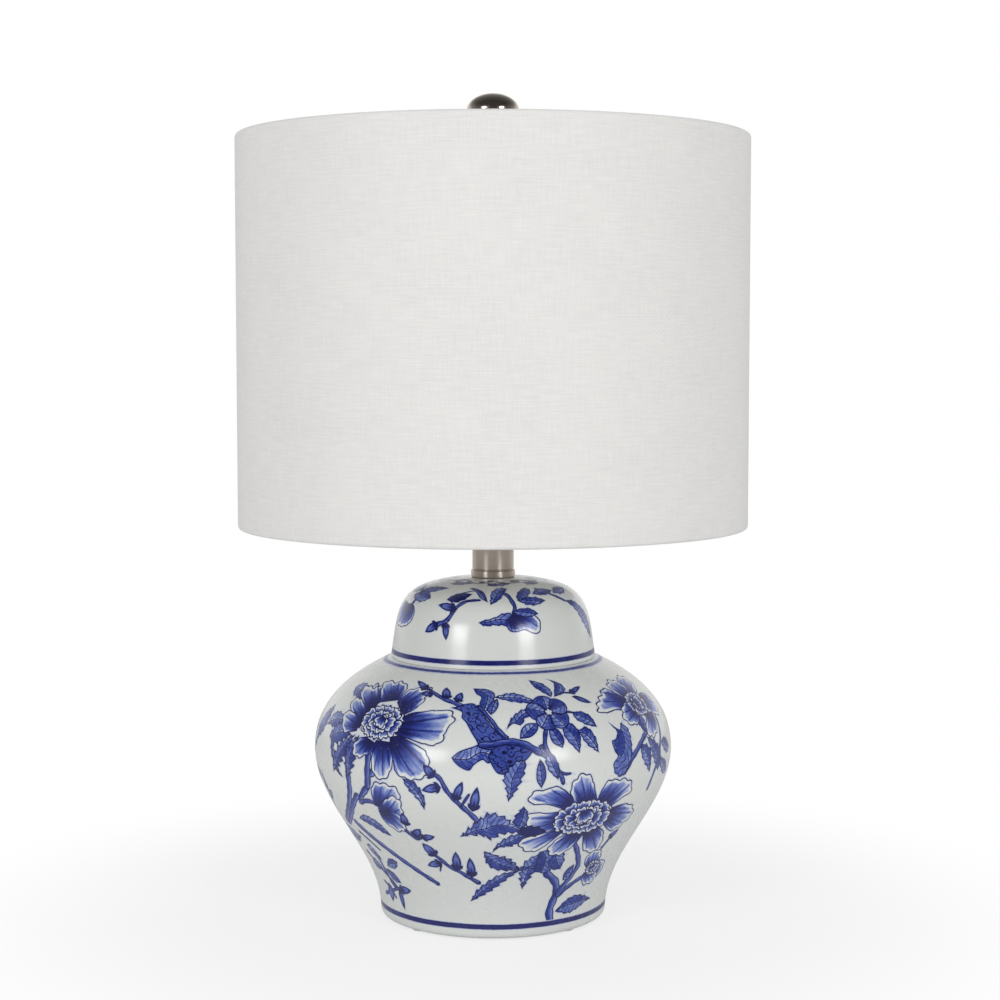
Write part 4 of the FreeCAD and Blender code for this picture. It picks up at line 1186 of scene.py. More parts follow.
# %% The right peony, its leaves and its stems
def right_peony(turn):
    spot = (turn + 32.0, 86.0)
    mid = (turn - 5.0, 75.0)
    foot = (turn + 22.0, 45.0)
    stem(foot, "2,6 1,0 5,-4 9,-9 11,-16 10,-22 8,-30 9,-37", 5.0, 5.6)
    stem(foot, "12,28 18,18 22,8 23,2 20,-5 15,-13 11,-18", 3.6, 4.2)
    stem(foot, "12,-20 18,-15 24,-11 30,-8 36,-4", 3.6, 3.2)
    leaf(foot, "44,-28! 36,-24 28,-22 20,-24 12,-31! 22,-34 31,-32 38,-29", 1.0, 0.5)
    leaf(foot, "20,4.5! 16,2 13.5,-3 14,-8! 18,-8 20,-3", 0.0, 0.5)
    leaf(foot, "-13,-12! -16,-3 -17,4 -15,12 -6,19! -4,12 -7,3 -10,-4", 2.0, 0.4)
    leaf(foot, "-42,21! -35,17 -29,16 -23,12 -17,5! -25,4 -32,6 -38,11", 1.8, 0.6)
    leaf(foot, "-44,-21! -41,-12 -34,-3 -27,2 -17,4! -24,-3 -31,-11 -38,-17", 1.6, 0.8)
    stem(foot, "-20,4 -12,6 -6,5 0,4", 2.6, 3.0)
    leaf(foot, "-8,19! -8,10 -8,3 -2,0! 2,1 4,8 3,16 -2,20", 1.6, 0.9)
    leaf(foot, "3,20! 8,18 11,10 10,2! 4,3 0,9", 1.4, 0.6)
    petal(foot, "32,-2 28,4 30,11 36,14 42,10 42,3 38,-2", ruffle=1.0, tone=0.3)
    petal(foot, "34,-4 42,2 48,2 50,-5 46,-11 38,-11", ruffle=1.0, tone=0.6)
    petal(foot, "30,-5 30,-12 35,-16 42,-14 44,-8 38,-3", ruffle=1.0, tone=0.2)
    ruffled_heart(foot, (38.0, -2.0), 7.0, 6.5, 0.4, 2, 6.5)
    stem(foot, "40,14 44,20 48,26", 2.4, 2.0)
    bud(foot, (44, 22), (52, 28), 5.0)

    leaf(mid, "-11,-2.5! -5,5 2,12 8,16.5 16,14 22,9 30,4 37,-1! 28,-1 22,1 14,0 8,-4 3,-1 -4,-1", 2.6, 0.5)
    leaf(mid, "29,21! 24,15 22,9 26,4! 32,8 32,15", 1.4, 0.8)
    leaf(mid, "8,-15.5! 11,-9 17,-3 24,0 32,-1! 27,-6 20,-10 13,-11", 1.4, 0.4)
    stem(mid, "28,1 36,-1 44,-2", 3.0, 3.4)
    leaf(mid, "3,-14! 10,-17 17,-22 25,-31! 16,-31 8,-29 4,-23", 1.4, 0.7)

    petal(spot, "0,-14 3,-22 6,-30 11,-34 17,-35 21,-31 21,-24 18,-17 10,-11", ruffle=1.0, tone=0.5)
    petal(spot, "12,-8 18,-14 25,-19 32,-18 38,-14 43,-10 42,-4 37,0 28,2 17,1", ruffle=1.6, tone=0.4)
    petal(spot, "-8,-12 -16,-18 -20,-25 -18,-31 -11,-33 -5,-29 0,-22 3,-13", ruffle=1.2, tone=0.7)
    petal(spot, "-10,-8 -18,-18 -25,-26 -31,-28 -37,-25 -41,-19 -37,-15 -29,-13 -18,-8", ruffle=1.0, tone=0.1)
    petal(spot, "-14,-6 -24,-12 -33,-13 -39,-9 -40,-3 -41,2 -36,4 -28,3 -16,4", ruffle=1.2, tone=0.2)
    petal(spot, "-12,1 -22,6 -31,9 -38,9 -42,12 -41,17 -36,19 -31,19 -27,21 -21,19 -16,15 -9,8",
          ruffle=1.2, tone=0.5)
    petal(spot, "-10,5 -14,12 -16,18 -13,24 -8,27 -3,26 0,22 2,16 6,6", ruffle=1.2, tone=0.6)
    petal(spot, "4,3 5,10 8,17 13,21 19,20 25,20 31,18 34,14 33,9 27,7 16,1", ruffle=1.2, tone=0.4)
    leaf(spot, "-44,-9! -39,-6 -32,-7 -25,-11! -32,-15 -39,-14", 1.2, 0.6, "deep")
    ruffled_heart(spot, (-2.0, -3.5), 21.5, 13.0, 0.1, 3, 9.6)


# %% Buds between the sprays
def bud_twigs(turn):
    spot = (turn - 5.0, 75.0)
    stem(spot, "-28,42 -22,38 -18,31 -11,23 -4,16 1,10", 2.8, 3.6)
    bud(spot, (-26, 39), (-33, 46), 6.0)
    bud(spot, (-22, 33), (-34, 30), 6.0)
    bud(spot, (-13, 25), (-8, 37), 5.6)
    stem(spot, "-9,21 -6,26 -4,29", 2.0, 1.8)
    bud(spot, (-2, 18), (1, 34), 6.2)
    low = (turn - 20.0, 50.0)
    stem(low, "-5,11 0,6 4,1 10,-3 16,-8 21,-12", 2.8, 3.4)
    bud(low, (-3, 9), (-10, 19), 7.0)
    bud(low, (-0.5, 3.5), (-10.5, -0.5), 6.0)
    bud(low, (9, -2), (11, 14), 6.0)
    bud(low, (17.5, -7), (19, 9.5), 5.6)
    stem(low, "-1,3 -1.5,0 -2.5,-4", 1.6, 1.0, "deep")


# %% The upper right peony at the turn of the pot
def right_shoulder(turn):
    spot = (turn + 58.0, 132.0)
    stem(spot, "-28,-24 -20,-16 -10,-9 -2,-4 6,-1", 3.8, 3.4)
    leaf(spot, "-31,9! -28,2 -31,-2 -35,-3! -35,-9 -33,-13 -37,-17! -36,-23 -30,-26! -24,-21 -20,-14 -18,-6 "
               "-17,2 -21,7! -25,3", 1.0, 0.7)
    leaf(spot, "0,-28! -6,-22 -10,-15 -9,-9! -2,-10 2,-16", 1.4, 0.5)
    leaf(spot, "12,-29! 6,-22 2,-14 0,-5! 9,-9 16,-16 17,-24", 1.6, 0.7)
    leaf(spot, "-2,12! -4,5 -2,-1 4,-3! 5,3 3,9", 1.0, 0.9)
    petal(spot, "0,14 -10,14 -18,16 -27,15 -33,17 -30,22 -25,26 -19,30 "
          "-13,34 -8,32 -3,26 4,20", ruffle=1.6, tone=0.5)
    petal(spot, "4,10 -4,4 -11,4 -16,8 -14,14 -8,19 -2,20 4,17", ruffle=1.4, tone=0.7)
    petal(spot, "12,10 6,4 2,-2 6,-7 14,-6 20,-1 22,8", ruffle=1.4, tone=0.4)
    petal(spot, "16,14 24,6 32,4 38,9 36,17 28,22 18,22", ruffle=1.4, tone=0.6)
    petal(spot, "12,22 22,24 28,30 26,37 18,40 10,36 4,27", ruffle=1.4, tone=0.3)
    petal(spot, "2,20 -4,26 -6,34 0,39 7,38 12,31 10,22", ruffle=1.4, tone=0.6)
    ruffled_heart(spot, (9.0, 17.0), 12.0, 9.5, 0.5, 2, 8.5)
    low = (turn + 58.0, 95.0)
    stem(low, "24,44 22,34 14,20 6,8 2,-2", 2.6, 2.8)
    leaf(low, "38,20! 32,26 25,28 19,26! 24,20 31,17", 1.2, 0.5)
    leaf(low, "34,4! 30,11 22,15 14,17! 18,9 26,4", 1.2, 0.6)


def side_twig(turn):
    """A small spray over the seam of the transfer, where its two ends meet."""
    spot = (turn + 97.0, 92.0)
    stem(spot, "12,-52 9,-38 3,-26 -4,-14 -8,-2 -6,10 2,20 10,27", 3.6, 4.6)
    stem(spot, "-5,-12 -14,-6 -20,2 -24,12", 2.4, 2.4)
    stem(spot, "4,-28 14,-22 20,-12 23,-3", 2.4, 2.4)
    bud(spot, (-21, 4), (-31, 11), 6.4)
    bud(spot, (-24, 11), (-24, 25), 6.4)
    bud(spot, (21, -9), (32, -3), 6.0)
    bud(spot, (23, -4), (21, 9), 6.4)
    leaf(spot, "10,27! 8,37 12,46 20,54! 25,44 22,34", 1.6, 0.6)
    leaf(spot, "3,21! -8,25 -15,33 -17,44! -6,40 1,32", 1.6, 0.3)
    leaf(spot, "-8,0! -2,7 8,10 18,8! 12,1 2,-3", 1.4, 0.5)
    leaf(spot, "1,-23! -9,-28 -20,-28 -30,-22! -20,-17 -9,-17", 1.8, 0.6)
    leaf(spot, "8,-37! 17,-42 28,-42 37,-36! 27,-31 17,-31", 1.8, 0.4)
    leaf(spot, "11,-47! 2,-52 -8,-51 -16,-45! -7,-41 3,-41", 1.6, 0.8)


def front_to_back(turn):
    """What the transfer carries, first stroke first."""
    side_twig(turn)
    left_foot(turn)
    left_peony(turn)
    branch(turn)
    right_shoulder(turn)
    pomegranate_flower(turn)
    bud_twigs(turn)
    right_peony(turn)


drawing = jar_strokes = []
for turn in (0.0, 180.0):
    front_to_back(turn)
print(len(jar_strokes), "strokes on the jar")


# %% The lid
def lid_spray(turn):
    spot = (turn, 200.0)
    side = (turn - 45.0, 200.0)
    other = (turn + 45.0, 200.0)
    stem(spot, "-8,15 -13,14.5 -18,13 -24,8 -28,2 -31,-1 -36,-3 -41,-5", 2.0, 3.4)
    bud(spot, (-24, 8), (-37, 9.5), 6.0)
    bud(spot, (-31, -2), (-30.5, -13), 5.0)
    bud(spot, (-37, -3), (-47, -9), 5.6)
    leaf(spot, "-31,14! -25,12 -18,15 -13,21! -19,22 -26,19", 0.8, 0.5, "deep")
    stem(spot, "-23,20 -17,23 -12,25 -6,23", 1.2, 1.0)
    leaf(spot, "-3,13! -8,17 -11,24 -15,29! -12,30 -6,24", 0.0, 0.9)
    stem(spot, "13,4 14,9 12,14 9,20 4,25", 2.6, 2.8)
    leaf(spot, "-1.5,11! -1.5,18 0,26 5,31 9,29! 7,21 4,15", 0.8, 0.6)
    leaf(spot, "36,13! 29,16.5 22,17 15,15! 21,11 29,10", 0.8, 0.7)
    leaf(spot, "21,30! 17,25 15,18 17,14! 23,18 25,25", 0.8, 0.8)
    leaf(spot, "-9,-1! -5,-3.2 0,-2.8 7,-3 12,-5! 14,2 11,5 7,5.2 0,2 -5,0.8", 0.8, 0.6)
    petal(spot, "12,4 9,1 9,-4 12,-7 16,-7 20,-6 24,-7.5 28,-9 31,-7 "
          "31.5,-2 29,2 24,6 19,7 15,6", ruffle=0.4, tone=0.9)
    stem(spot, "13,5 15,1 14,-5", 1.1, 0.8, "deep")
    leaf(spot, "30,4! 24,8 17,8 12,6! 17,3 24,2", 0.6, 0.5)
    petal(side, "-24,7 -32,8 -39,5 -41,-1 -37,-7 -29,-9 -21,-8 -14,-5 -11,1 -14,6 -19,8", ruffle=0.4, tone=0.8)
    stem(side, "-18,8 -17,13 -20,19 -26,25", 2.4, 2.4)
    leaf(side, "3,27! -5,28 -13,26 -21,20! -13,18 -4,21", 1.0, 0.6)
    leaf(side, "-2,14! -10,20 -18,19 -24,14! -17,11 -9,10", 1.0, 0.4)
    leaf(side, "-39,20! -34,25 -27,25 -21,20! -28,16 -34,16", 1.0, 0.7)
    leaf(other, "37,-18! 31,-13 24,-6 18,3 10,11! 19,10 28,4 35,-3", 1.2, 0.5)
    stem(other, "10,11 5,15 0,20 -4,27", 2.4, 2.4)
    leaf(other, "-12,20! -6,25 1,26 7,22! 1,19 -6,18", 0.8, 0.8)
    leaf(other, "24,22! 17,25 10,24 5,19! 11,17 18,18", 0.8, 0.6)


def collar_wreath(turn):
    """Leaves on a thin stem close round the neck's collar."""
    for swing, tone in ((-68.0, 0.4), (-22.0, 0.7), (24.0, 0.5), (70.0, 0.8)):
        spot = (turn + swing, 200.0)
        stem(spot, "-11,39 -5,41 1,40.5 7,41 13,39", 1.5, 1.2)
        leaf(spot, "-1,40! -6,36 -12,34 -19,35! -13,39 -7,41", 1.2, tone)
        leaf(spot, "2,41! 1,45 4,48 9,49! 9,45 6,42", 0.8, tone, "deep")
        leaf(spot, "8,40! 10,36 15,34 20,35! 17,39 12,41", 1.0, 1.0 - tone)
        bud(spot, (-5, 41), (-8, 47), 4.4)


drawing = lid_strokes = []
for turn in (0.0, 180.0):
    collar_wreath(turn)
    lid_spray(turn)
print(len(lid_strokes), "strokes on the lid")

# %% [markdown]
# ## Jar and foot ring
# The jar is thrown in one outline: foot ring, a belly that is widest at 111 mm, a shoulder, and a short neck
# that stands inside the lid. The outside is the painter's ground, so it comes from the skin cutter and not
# from even steps. The rest of the jar, which nobody paints, is turned as usual and welded on, and the cord
# hole is cut through the foot with its shallow seat for the bushing.
# %% The jar's outline
def painted_profile(points):
    """The painted part of an outline: radius and height by the length measured along it."""
    line = np.array(points)
    steps = np.hypot(*np.diff(line, axis=0).T)
    return {"along": np.concatenate([[0.0], np.cumsum(steps)]), "radius": line[:, 0], "height": line[:, 1]}


belly = [(73.8, 5.0)] + span((73.8, 5.0), (75.3, 45.0), (116.5, 74.9), (116.5, 111.0), 400)
belly += span((116.5, 111.0), (116.5, 128.8), (109.3, 150.6), (67.4, 169.8), 400)
jar_ground = painted_profile(belly)
recess_ground = painted_profile([(62.0, 1.0), (66.0, 22.0)])
rest_of_jar = [(67.4, 169.8), (63.4, 169.8), (59.3, 169.8), (59.3, 179.5)]
rest_of_jar += bend((59.3, 179.5), (56.8, 182.0), (54.3, 179.5), 8) + [(54.3, 169.8)]
rest_of_jar += span((54.3, 169.8), (99.0, 152.5), (111.5, 127.5), (111.5, 111.0), 14)
rest_of_jar += span((111.5, 111.0), (111.5, 82.0), (82.0, 53.5), (76.0, 36.5), 14)
rest_of_jar += bend((76.0, 36.5), (74.2, 32.3), (70.0, 30.5), 5)
rest_of_jar += [(38.0, 30.5), (5.5, 30.5), (5.5, 24.5), (38.0, 24.5), (63.5, 24.5), (66.0, 22.0)]
foot_edge = [(62.0, 1.0), (66.5, 1.0), (70.9, 1.0)] + bend((70.9, 1.0), (73.0, 2.4), (73.8, 5.0), 6)
print("painted height along the jar:", round(jar_ground["along"][-1], 1), "mm")

# %% The cord hole
hole_height = 14.5
seat_radius, bore_radius = 8.0, 5.4
seat_floor = 73.5                # how far from the axis the bushing's seat ends
hole_steps = 48
hole_turns = np.linspace(0.0, 2 * math.pi, hole_steps, endpoint=False)


def hole_on(ground, radius):
    """Where a round hole along the back meets a turned surface, on the flat drawing."""
    x = radius * np.sin(hole_turns)
    height = hole_height + radius * np.cos(hole_turns)
    reach = np.interp(height, ground["height"], ground["radius"])
    turn = math.pi - np.arcsin(x / reach)
    turn = np.where(turn > math.radians(FIRST_TURN + 360), turn - 2 * math.pi, turn)
    return np.column_stack([turn * AROUND, np.interp(height, ground["height"], ground["along"])])


FIRST_TURN = -200.0              # degrees round the pot at which the skin starts
STEPS = 240
ring_angles = [FIRST_TURN - 90.0 + 360.0 * step / STEPS for step in range(STEPS)]
outer_hole = hole_on(jar_ground, seat_radius)
inner_hole = hole_on(recess_ground, bore_radius)


def hole_lining():
    """The seat for the bushing and the bore behind it, from the jar's outside to its recess."""
    rings = [on_pot(jar_ground, outer_hole)]
    for radius in (seat_radius, bore_radius):
        rings.append(np.column_stack([radius * np.sin(hole_turns), np.full(hole_steps, seat_floor),
                                      hole_height + radius * np.cos(hole_turns)]))
    rings.append(on_pot(recess_ground, inner_hole))
    faces = []
    for low in range(0, 3 * hole_steps, hole_steps):
        high = low + hole_steps
        for step in range(hole_steps):
            after = (step + 1) % hole_steps
            faces.append((low + step, high + step, high + after, low + after))
    return [tuple(p) for ring in rings for p in ring], faces


print("cord hole at", hole_height, "mm up the back")


# %% Welding the painted skin to the turned parts
def glazed_pot(name, ground, strokes, parts, finish, holes=(), open_gap=4.6, stroke_gap=1.9):
    """One closed pot: its painted skin first, then the parts that carry no drawing."""
    points, triangles, brush, size = skin(ground, strokes, FIRST_TURN, STEPS, open_gap, stroke_gap, holes)
    shape = joined(([tuple(p) for p in points], [tuple(t) for t in triangles]), *parts)
    mesh = bpy.data.meshes.new(name)
    mesh.from_pydata([(x * mm, y * mm, z * mm) for x, y, z in shape[0]], [], shape[1])
    mesh.materials.append(finish)
    blank = {"brush": (0.0, 0.0, -3.0), "size": (1.0, 1.0, -1.0)}
    for title, values in (("brush", brush), ("size", size)):
        layer = mesh.attributes.new(title, "FLOAT_VECTOR", "CORNER")
        whole = np.tile(np.array(blank[title], dtype=np.float32), (len(mesh.loops), 1))
        whole[:len(values)] = values
        layer.data.foreach_set("vector", whole.ravel())
    work = bmesh.new()
    work.from_mesh(mesh)
    bmesh.ops.remove_doubles(work, verts=work.verts, dist=2e-6)
    open_edges = sum(1 for edge in work.edges if len(edge.link_faces) != 2)
    work.to_mesh(mesh)
    work.free()
    mesh.shade_smooth()
    mesh.set_sharp_from_angle(angle=math.radians(35))
    true_normals(mesh, ground)
    made = bpy.data.objects.new(name, mesh)
    scene.collection.objects.link(made)
    print(name, "edges left open:", open_edges)
    return made


def true_normals(mesh, ground):
    """Gives the skin the exact slope of its outline, so that uneven triangles don't show in the gloss."""
    run = np.gradient(np.column_stack([ground["radius"], ground["height"]]), axis=0)
    run /= np.hypot(*run.T)[:, None]
    spots = np.zeros(len(mesh.vertices) * 3)
    mesh.vertices.foreach_get("co", spots)
    spots = spots.reshape(-1, 3)
    holders = np.zeros(len(mesh.loops), dtype=np.int32)
    mesh.loops.foreach_get("vertex_index", holders)
    at = spots[holders]
    turn = np.arctan2(at[:, 1], at[:, 0])
    height = at[:, 2] / mm
    outward = np.interp(height, ground["height"], run[:, 1])
    upward = -np.interp(height, ground["height"], run[:, 0])
    reach = np.hypot(at[:, 0], at[:, 1]) / mm
    surface = np.interp(height, ground["height"], ground["radius"])
    on_skin = (np.abs(reach - surface) < 0.02) & (height > ground["height"][0] - 0.01)
    on_skin &= height < ground["height"][-1] + 0.01
    faces = np.zeros(len(mesh.polygons), dtype=np.int32)
    mesh.polygons.foreach_get("loop_start", faces)
    totals = np.zeros(len(mesh.polygons), dtype=np.int32)
    mesh.polygons.foreach_get("loop_total", totals)
    whole_face = np.minimum.reduceat(on_skin.astype(int), faces).astype(bool)
    keep = np.repeat(whole_face, totals)
    normals = np.column_stack([outward * np.cos(turn), outward * np.sin(turn), upward])
    normals[~keep] = 0.0
    mesh.normals_split_custom_set([tuple(n) for n in normals])


# %% The jar
recess_points, outward_faces = skin(recess_ground, [], FIRST_TURN, STEPS, 7.0, 3.0, [inner_hole])[:2]
recess = ([tuple(p) for p in recess_points], [tuple(reversed(t)) for t in outward_faces.tolist()])
jar = glazed_pot("painted_jar", jar_ground, jar_strokes, [
    turned(rest_of_jar, angles=ring_angles, closed=False),
    turned(foot_edge, angles=ring_angles, closed=False),
    recess, hole_lining()], jar_glaze, [outer_hole])
tell(jar)

# %% [markdown]
# ## Lid
# The lid is a cap that drops over the neck and rests on the shoulder. It is painted like the jar, with one
# broad ring line near its foot, and bored in the middle for the lamp pipe.
# %% The lid
crown = [(66.7, 170.8), (64.2, 188.0)]
crown = [tuple(np.array(crown[0]) * (1 - t) + np.array(crown[1]) * t) for t in np.linspace(0, 1, 60)]
crown += span((64.2, 188.0), (60.0, 212.0), (53.0, 218.7), (15.0, 221.4), 400)
lid_ground = painted_profile(crown)
under_lid = [(15.0, 221.4), (10.0, 221.4), (5.5, 221.4), (5.5, 216.4), (10.0, 216.4), (15.0, 216.4)]
under_lid += span((15.0, 216.4), (49.5, 214.2), (55.6, 207.5), (59.2, 188.0), 14)
under_lid += [(61.7, 169.8), (65.7, 169.8)] + bend((65.7, 169.8), (66.4, 170.1), (66.7, 170.8), 4)
lid = glazed_pot("painted_lid", lid_ground, lid_strokes, [
    turned(under_lid, angles=ring_angles, closed=False)], lid_glaze)
tell(lid)

# %% [markdown]
# ## Drum shade
# A drum shade is a sheet of styrene with linen glued to it, bent round two wire rings and rolled over them
# at the hems. It is stiff, so it isn't simulated as cloth: the drum is turned with mesh code, hem roll and
# glued tail included. What makes it read as linen is the weave, which follows a map in real metres, and the
# overlapped seam down the back. The top tail is opened where each spoke of the spider comes through.
# %% Linen and its map
def linen_finish():
    material, tree, shader = new_finish("linen", **{"Specular IOR Level": 0.25, "Sheen Weight": 0.05})
    look = use_group(tree, weave_group, Cloth_Place=attribute(tree, "cloth"))
    pale = blend_colour(tree, look["Slub"].rise(0.34, 0.68), tint(219, 218, 216), tint(229, 228, 226))
    blotch = cloud(tree, object_place(tree), 26.0, 5.0, 0.6)
    pale = blend_colour(tree, blotch.rise(0.3, 0.7, 0.0, 0.22), pale, tint(233, 232, 229))
    # Painted shade between the threads darkens the linen a little.
    feed(tree, shader.inputs["Base Color"], blend_colour(tree, look["Gap Shade"] * 0.25, pale, tint(198, 196, 192)))
    feed(tree, shader.inputs["Roughness"], look["Slub"].rise(0.3, 0.7, 0.82, 0.95))
    raise_surface(tree, shader, look["Height"], 0.45, 0.00025)
    return material


linen = linen_finish()


def lay_cloth(made, radius):
    """Writes the cloth's map: metres round the drum and up it, for the weave to follow."""
    mesh = made.data
    layer = mesh.attributes.new("cloth", "FLOAT_VECTOR", "CORNER")
    values = np.zeros((len(mesh.loops), 3), dtype=np.float32)
    for face in mesh.polygons:
        middle = math.atan2(face.center.y, face.center.x)
        for loop in face.loop_indices:
            point = mesh.vertices[mesh.loops[loop].vertex_index].co
            turn = math.atan2(point.y, point.x)
            turn = middle + (turn - middle + math.pi) % (2 * math.pi) - math.pi
            depth = radius * mm - math.hypot(point.x, point.y)
            values[loop] = (turn * radius * mm, point.z + depth * 0.9, 0.0)
    layer.data.foreach_set("vector", values.ravel())


# %% Fabric, hems and seam
shade_radius = 165.1
shade_foot = 254.6
shade_top = 505.5
cloth = 0.6                      # thickness of the linen
hem = 2.2                        # outer radius of the roll over a wire ring
tail = 9.0                       # how far the glued tail comes down inside
tails = []                       # where the top tail starts and ends in the outline


def drum_outline():
    """Up the outside, over the top roll, down its tail and the inside, and round the roll at the foot."""
    outer = shade_radius
    inner = shade_radius - cloth
    points = []
    for step in range(25):
        share = step / 24
        points.append((outer, shade_foot + hem + (shade_top - shade_foot - 2 * hem) * share))
    middle = outer - hem
    tails.append(len(points) + 12)
    for step in range(1, 13):
        turn = math.pi * step / 12
        points.append((middle + hem * math.cos(turn), shade_top - hem + hem * math.sin(turn)))
    points.append((middle - hem + 0.25, shade_top - hem - 1.6))
    points.append((inner - 1.35, shade_top - hem - 3.0))
    points.append((inner - 1.2, shade_top - tail))
    points.append((inner - 0.55, shade_top - tail - 0.1))
    tails.append(len(points))
    for step in range(13):
        share = step / 12
        points.append((inner, shade_top - tail - 0.6 - (shade_top - shade_foot - 2 * tail - 1.2) * share))
    points.append((inner - 0.55, shade_foot + tail + 0.1))
    points.append((inner - 1.2, shade_foot + tail))
    points.append((inner - 1.35, shade_foot + hem + 3.0))
    points.append((middle - hem + 0.25, shade_foot + hem + 1.6))
    for step in range(12):
        turn = math.pi + math.pi * step / 12
        points.append((middle + hem * math.cos(turn), shade_foot + hem + hem * math.sin(turn)))
    return points


outline = drum_outline()
spoke_turns = (90.0, 210.0, 330.0)
seam_turn = 96.0                 # the overlap, down the back beside a spoke
seam_width = 4.2                 # degrees, about 12 mm
notch = 1.25                     # degrees to each side of a spoke


def cut_and_lap(place, degrees):
    """Opens the top tail where a spoke comes through, and lifts the lapped edge of the linen."""
    for spoke in spoke_turns:
        off = abs((degrees - spoke + 180) % 360 - 180)
        if off < notch and tails[0] < place < tails[1]:
            return inner_wall_reach[place]
    past = (degrees - seam_turn + 180) % 360 - 180
    if place < 25 and 0 <= past <= seam_width:
        return 0.30 - 0.22 * past / seam_width
    return 0.0


inner_wall_reach = {place: shade_radius - cloth - 0.1 - outline[place][0] for place in range(tails[0], tails[1])}
angles = {float(step) for step in range(360)}
for spoke in spoke_turns:
    angles.update((spoke - notch - 0.05, spoke - notch + 0.05, spoke + notch - 0.05, spoke + notch + 0.05))
angles.update((seam_turn - 0.05, seam_turn + 0.02, seam_turn + seam_width, seam_turn + seam_width + 0.05))
shade = piece("drum_shade", turned(outline, angles=sorted(angles), shift=cut_and_lap), linen, 40)
lay_cloth(shade, shade_radius)
tell(shade)

# %% [markdown]
# ## Neck and finial
# The neck is a collar, a brushed tube and a cap ring, all nickel plated, and the finial is a flattened ball on
# a waisted foot. They could stay as the CAD made them; they are turned again here with many small steps,
# because polish shows every flat, and with the thin grooves that a lathe leaves between two parts.
# %% Neck
neck_outline = [(5.3, 221.5), (12.4, 221.5), (13.6, 221.5)]
neck_outline += bend((13.6, 221.5), (14.2, 221.8), (14.4, 222.4), 4)
neck_outline += [(14.4, 225.6)] + bend((14.4, 225.6), (14.2, 226.2), (13.7, 226.4), 4)
neck_outline += [(12.9, 226.5), (12.9, 226.9), (13.3, 227.0), (13.5, 227.3), (13.5, 240.0), (13.5, 255.0)]
neck_outline += [(13.5, 263.6), (13.3, 263.9), (12.9, 264.0), (12.9, 264.2), (14.2, 264.2), (14.4, 264.5)]
neck_outline += [(14.4, 265.2)]
neck_outline += bend((14.4, 265.2), (14.16, 265.76), (13.6, 266.0), 4) + [(5.3, 266.0)]
neck = piece("nickel_neck", turned(neck_outline, 160), satin_nickel, 30)
tell(neck)

# %% Finial
foot_z = 495.8
knob_wide, knob_high, knob_middle, knob_cut = 16.8, 10.6, 523.0, 513.6
finial_outline = [(0.0, 506.8), (5.1, 506.8), (5.1, foot_z), (8.6, foot_z)]
finial_outline += bend((8.6, foot_z), (9.6, foot_z + 1.2), (8.6, foot_z + 2.4), 8)
finial_outline += span((8.6, foot_z + 2.4), (7.0, foot_z + 3.5), (6.4, foot_z + 6), (6.4, foot_z + 9), 10)
finial_outline += span((6.4, foot_z + 9), (6.4, foot_z + 13), (6.0, knob_cut - 2), (7.2, knob_cut), 8)
start = math.asin((knob_cut - knob_middle) / knob_high)
knob_steps = 44
for step in range(knob_steps + 1):
    turn = start + (math.pi / 2 - start) * step / knob_steps
    reach = knob_wide * math.cos(turn) if step < knob_steps else 0.0
    finial_outline.append((reach, knob_middle + knob_high * math.sin(turn)))
finial = piece("nickel_finial", turned(finial_outline, 128), bright_nickel, 30)
tell(finial)

# %% [markdown]
# ## Threads
# The lamp pipe is threaded from end to end, the stud under the finial has a fine thread, and the bulb's cap a
# coarse rolled one. Each is one ridge wound round a core. Geometry Nodes winds it: a spiral curve gets a small
# round profile, is lifted to its height and joined to the core, so one tree serves all three with other sizes.
# %% A tree that winds a thread round a core
wind = bpy.data.node_groups.new("wound thread", "GeometryNodeTree")
wind.interface.new_socket(name="Core", in_out="INPUT", socket_type="NodeSocketGeometry")
sockets = {}
for title, kind in (("Radius", "Float"), ("Pitch", "Float"), ("Ridge", "Float"), ("Bottom", "Float"),
                    ("Height", "Float"), ("Points a Turn", "Int"), ("Ridge Sides", "Int"),
                    ("Finish", "Material")):
    made_socket = wind.interface.new_socket(name=title, in_out="INPUT", socket_type="NodeSocket" + kind)
    sockets[title] = made_socket.identifier
wind.interface.new_socket(name="Threaded", in_out="OUTPUT", socket_type="NodeSocketGeometry")
entry = wind.nodes.new("NodeGroupInput")
leave = wind.nodes.new("NodeGroupOutput")
spiral = wind.nodes.new("GeometryNodeCurveSpiral")
turns = wind.nodes.new("ShaderNodeMath")
turns.operation = "DIVIDE"
profile = wind.nodes.new("GeometryNodeCurvePrimitiveCircle")
sweep = wind.nodes.new("GeometryNodeCurveToMesh")
lift = wind.nodes.new("GeometryNodeTransform")
place_at = wind.nodes.new("ShaderNodeCombineXYZ")
both = wind.nodes.new("GeometryNodeJoinGeometry")
real = wind.nodes.new("GeometryNodeRealizeInstances")
paint = wind.nodes.new("GeometryNodeSetMaterial")
sweep.inputs["Fill Caps"].default_value = True
given = entry.outputs
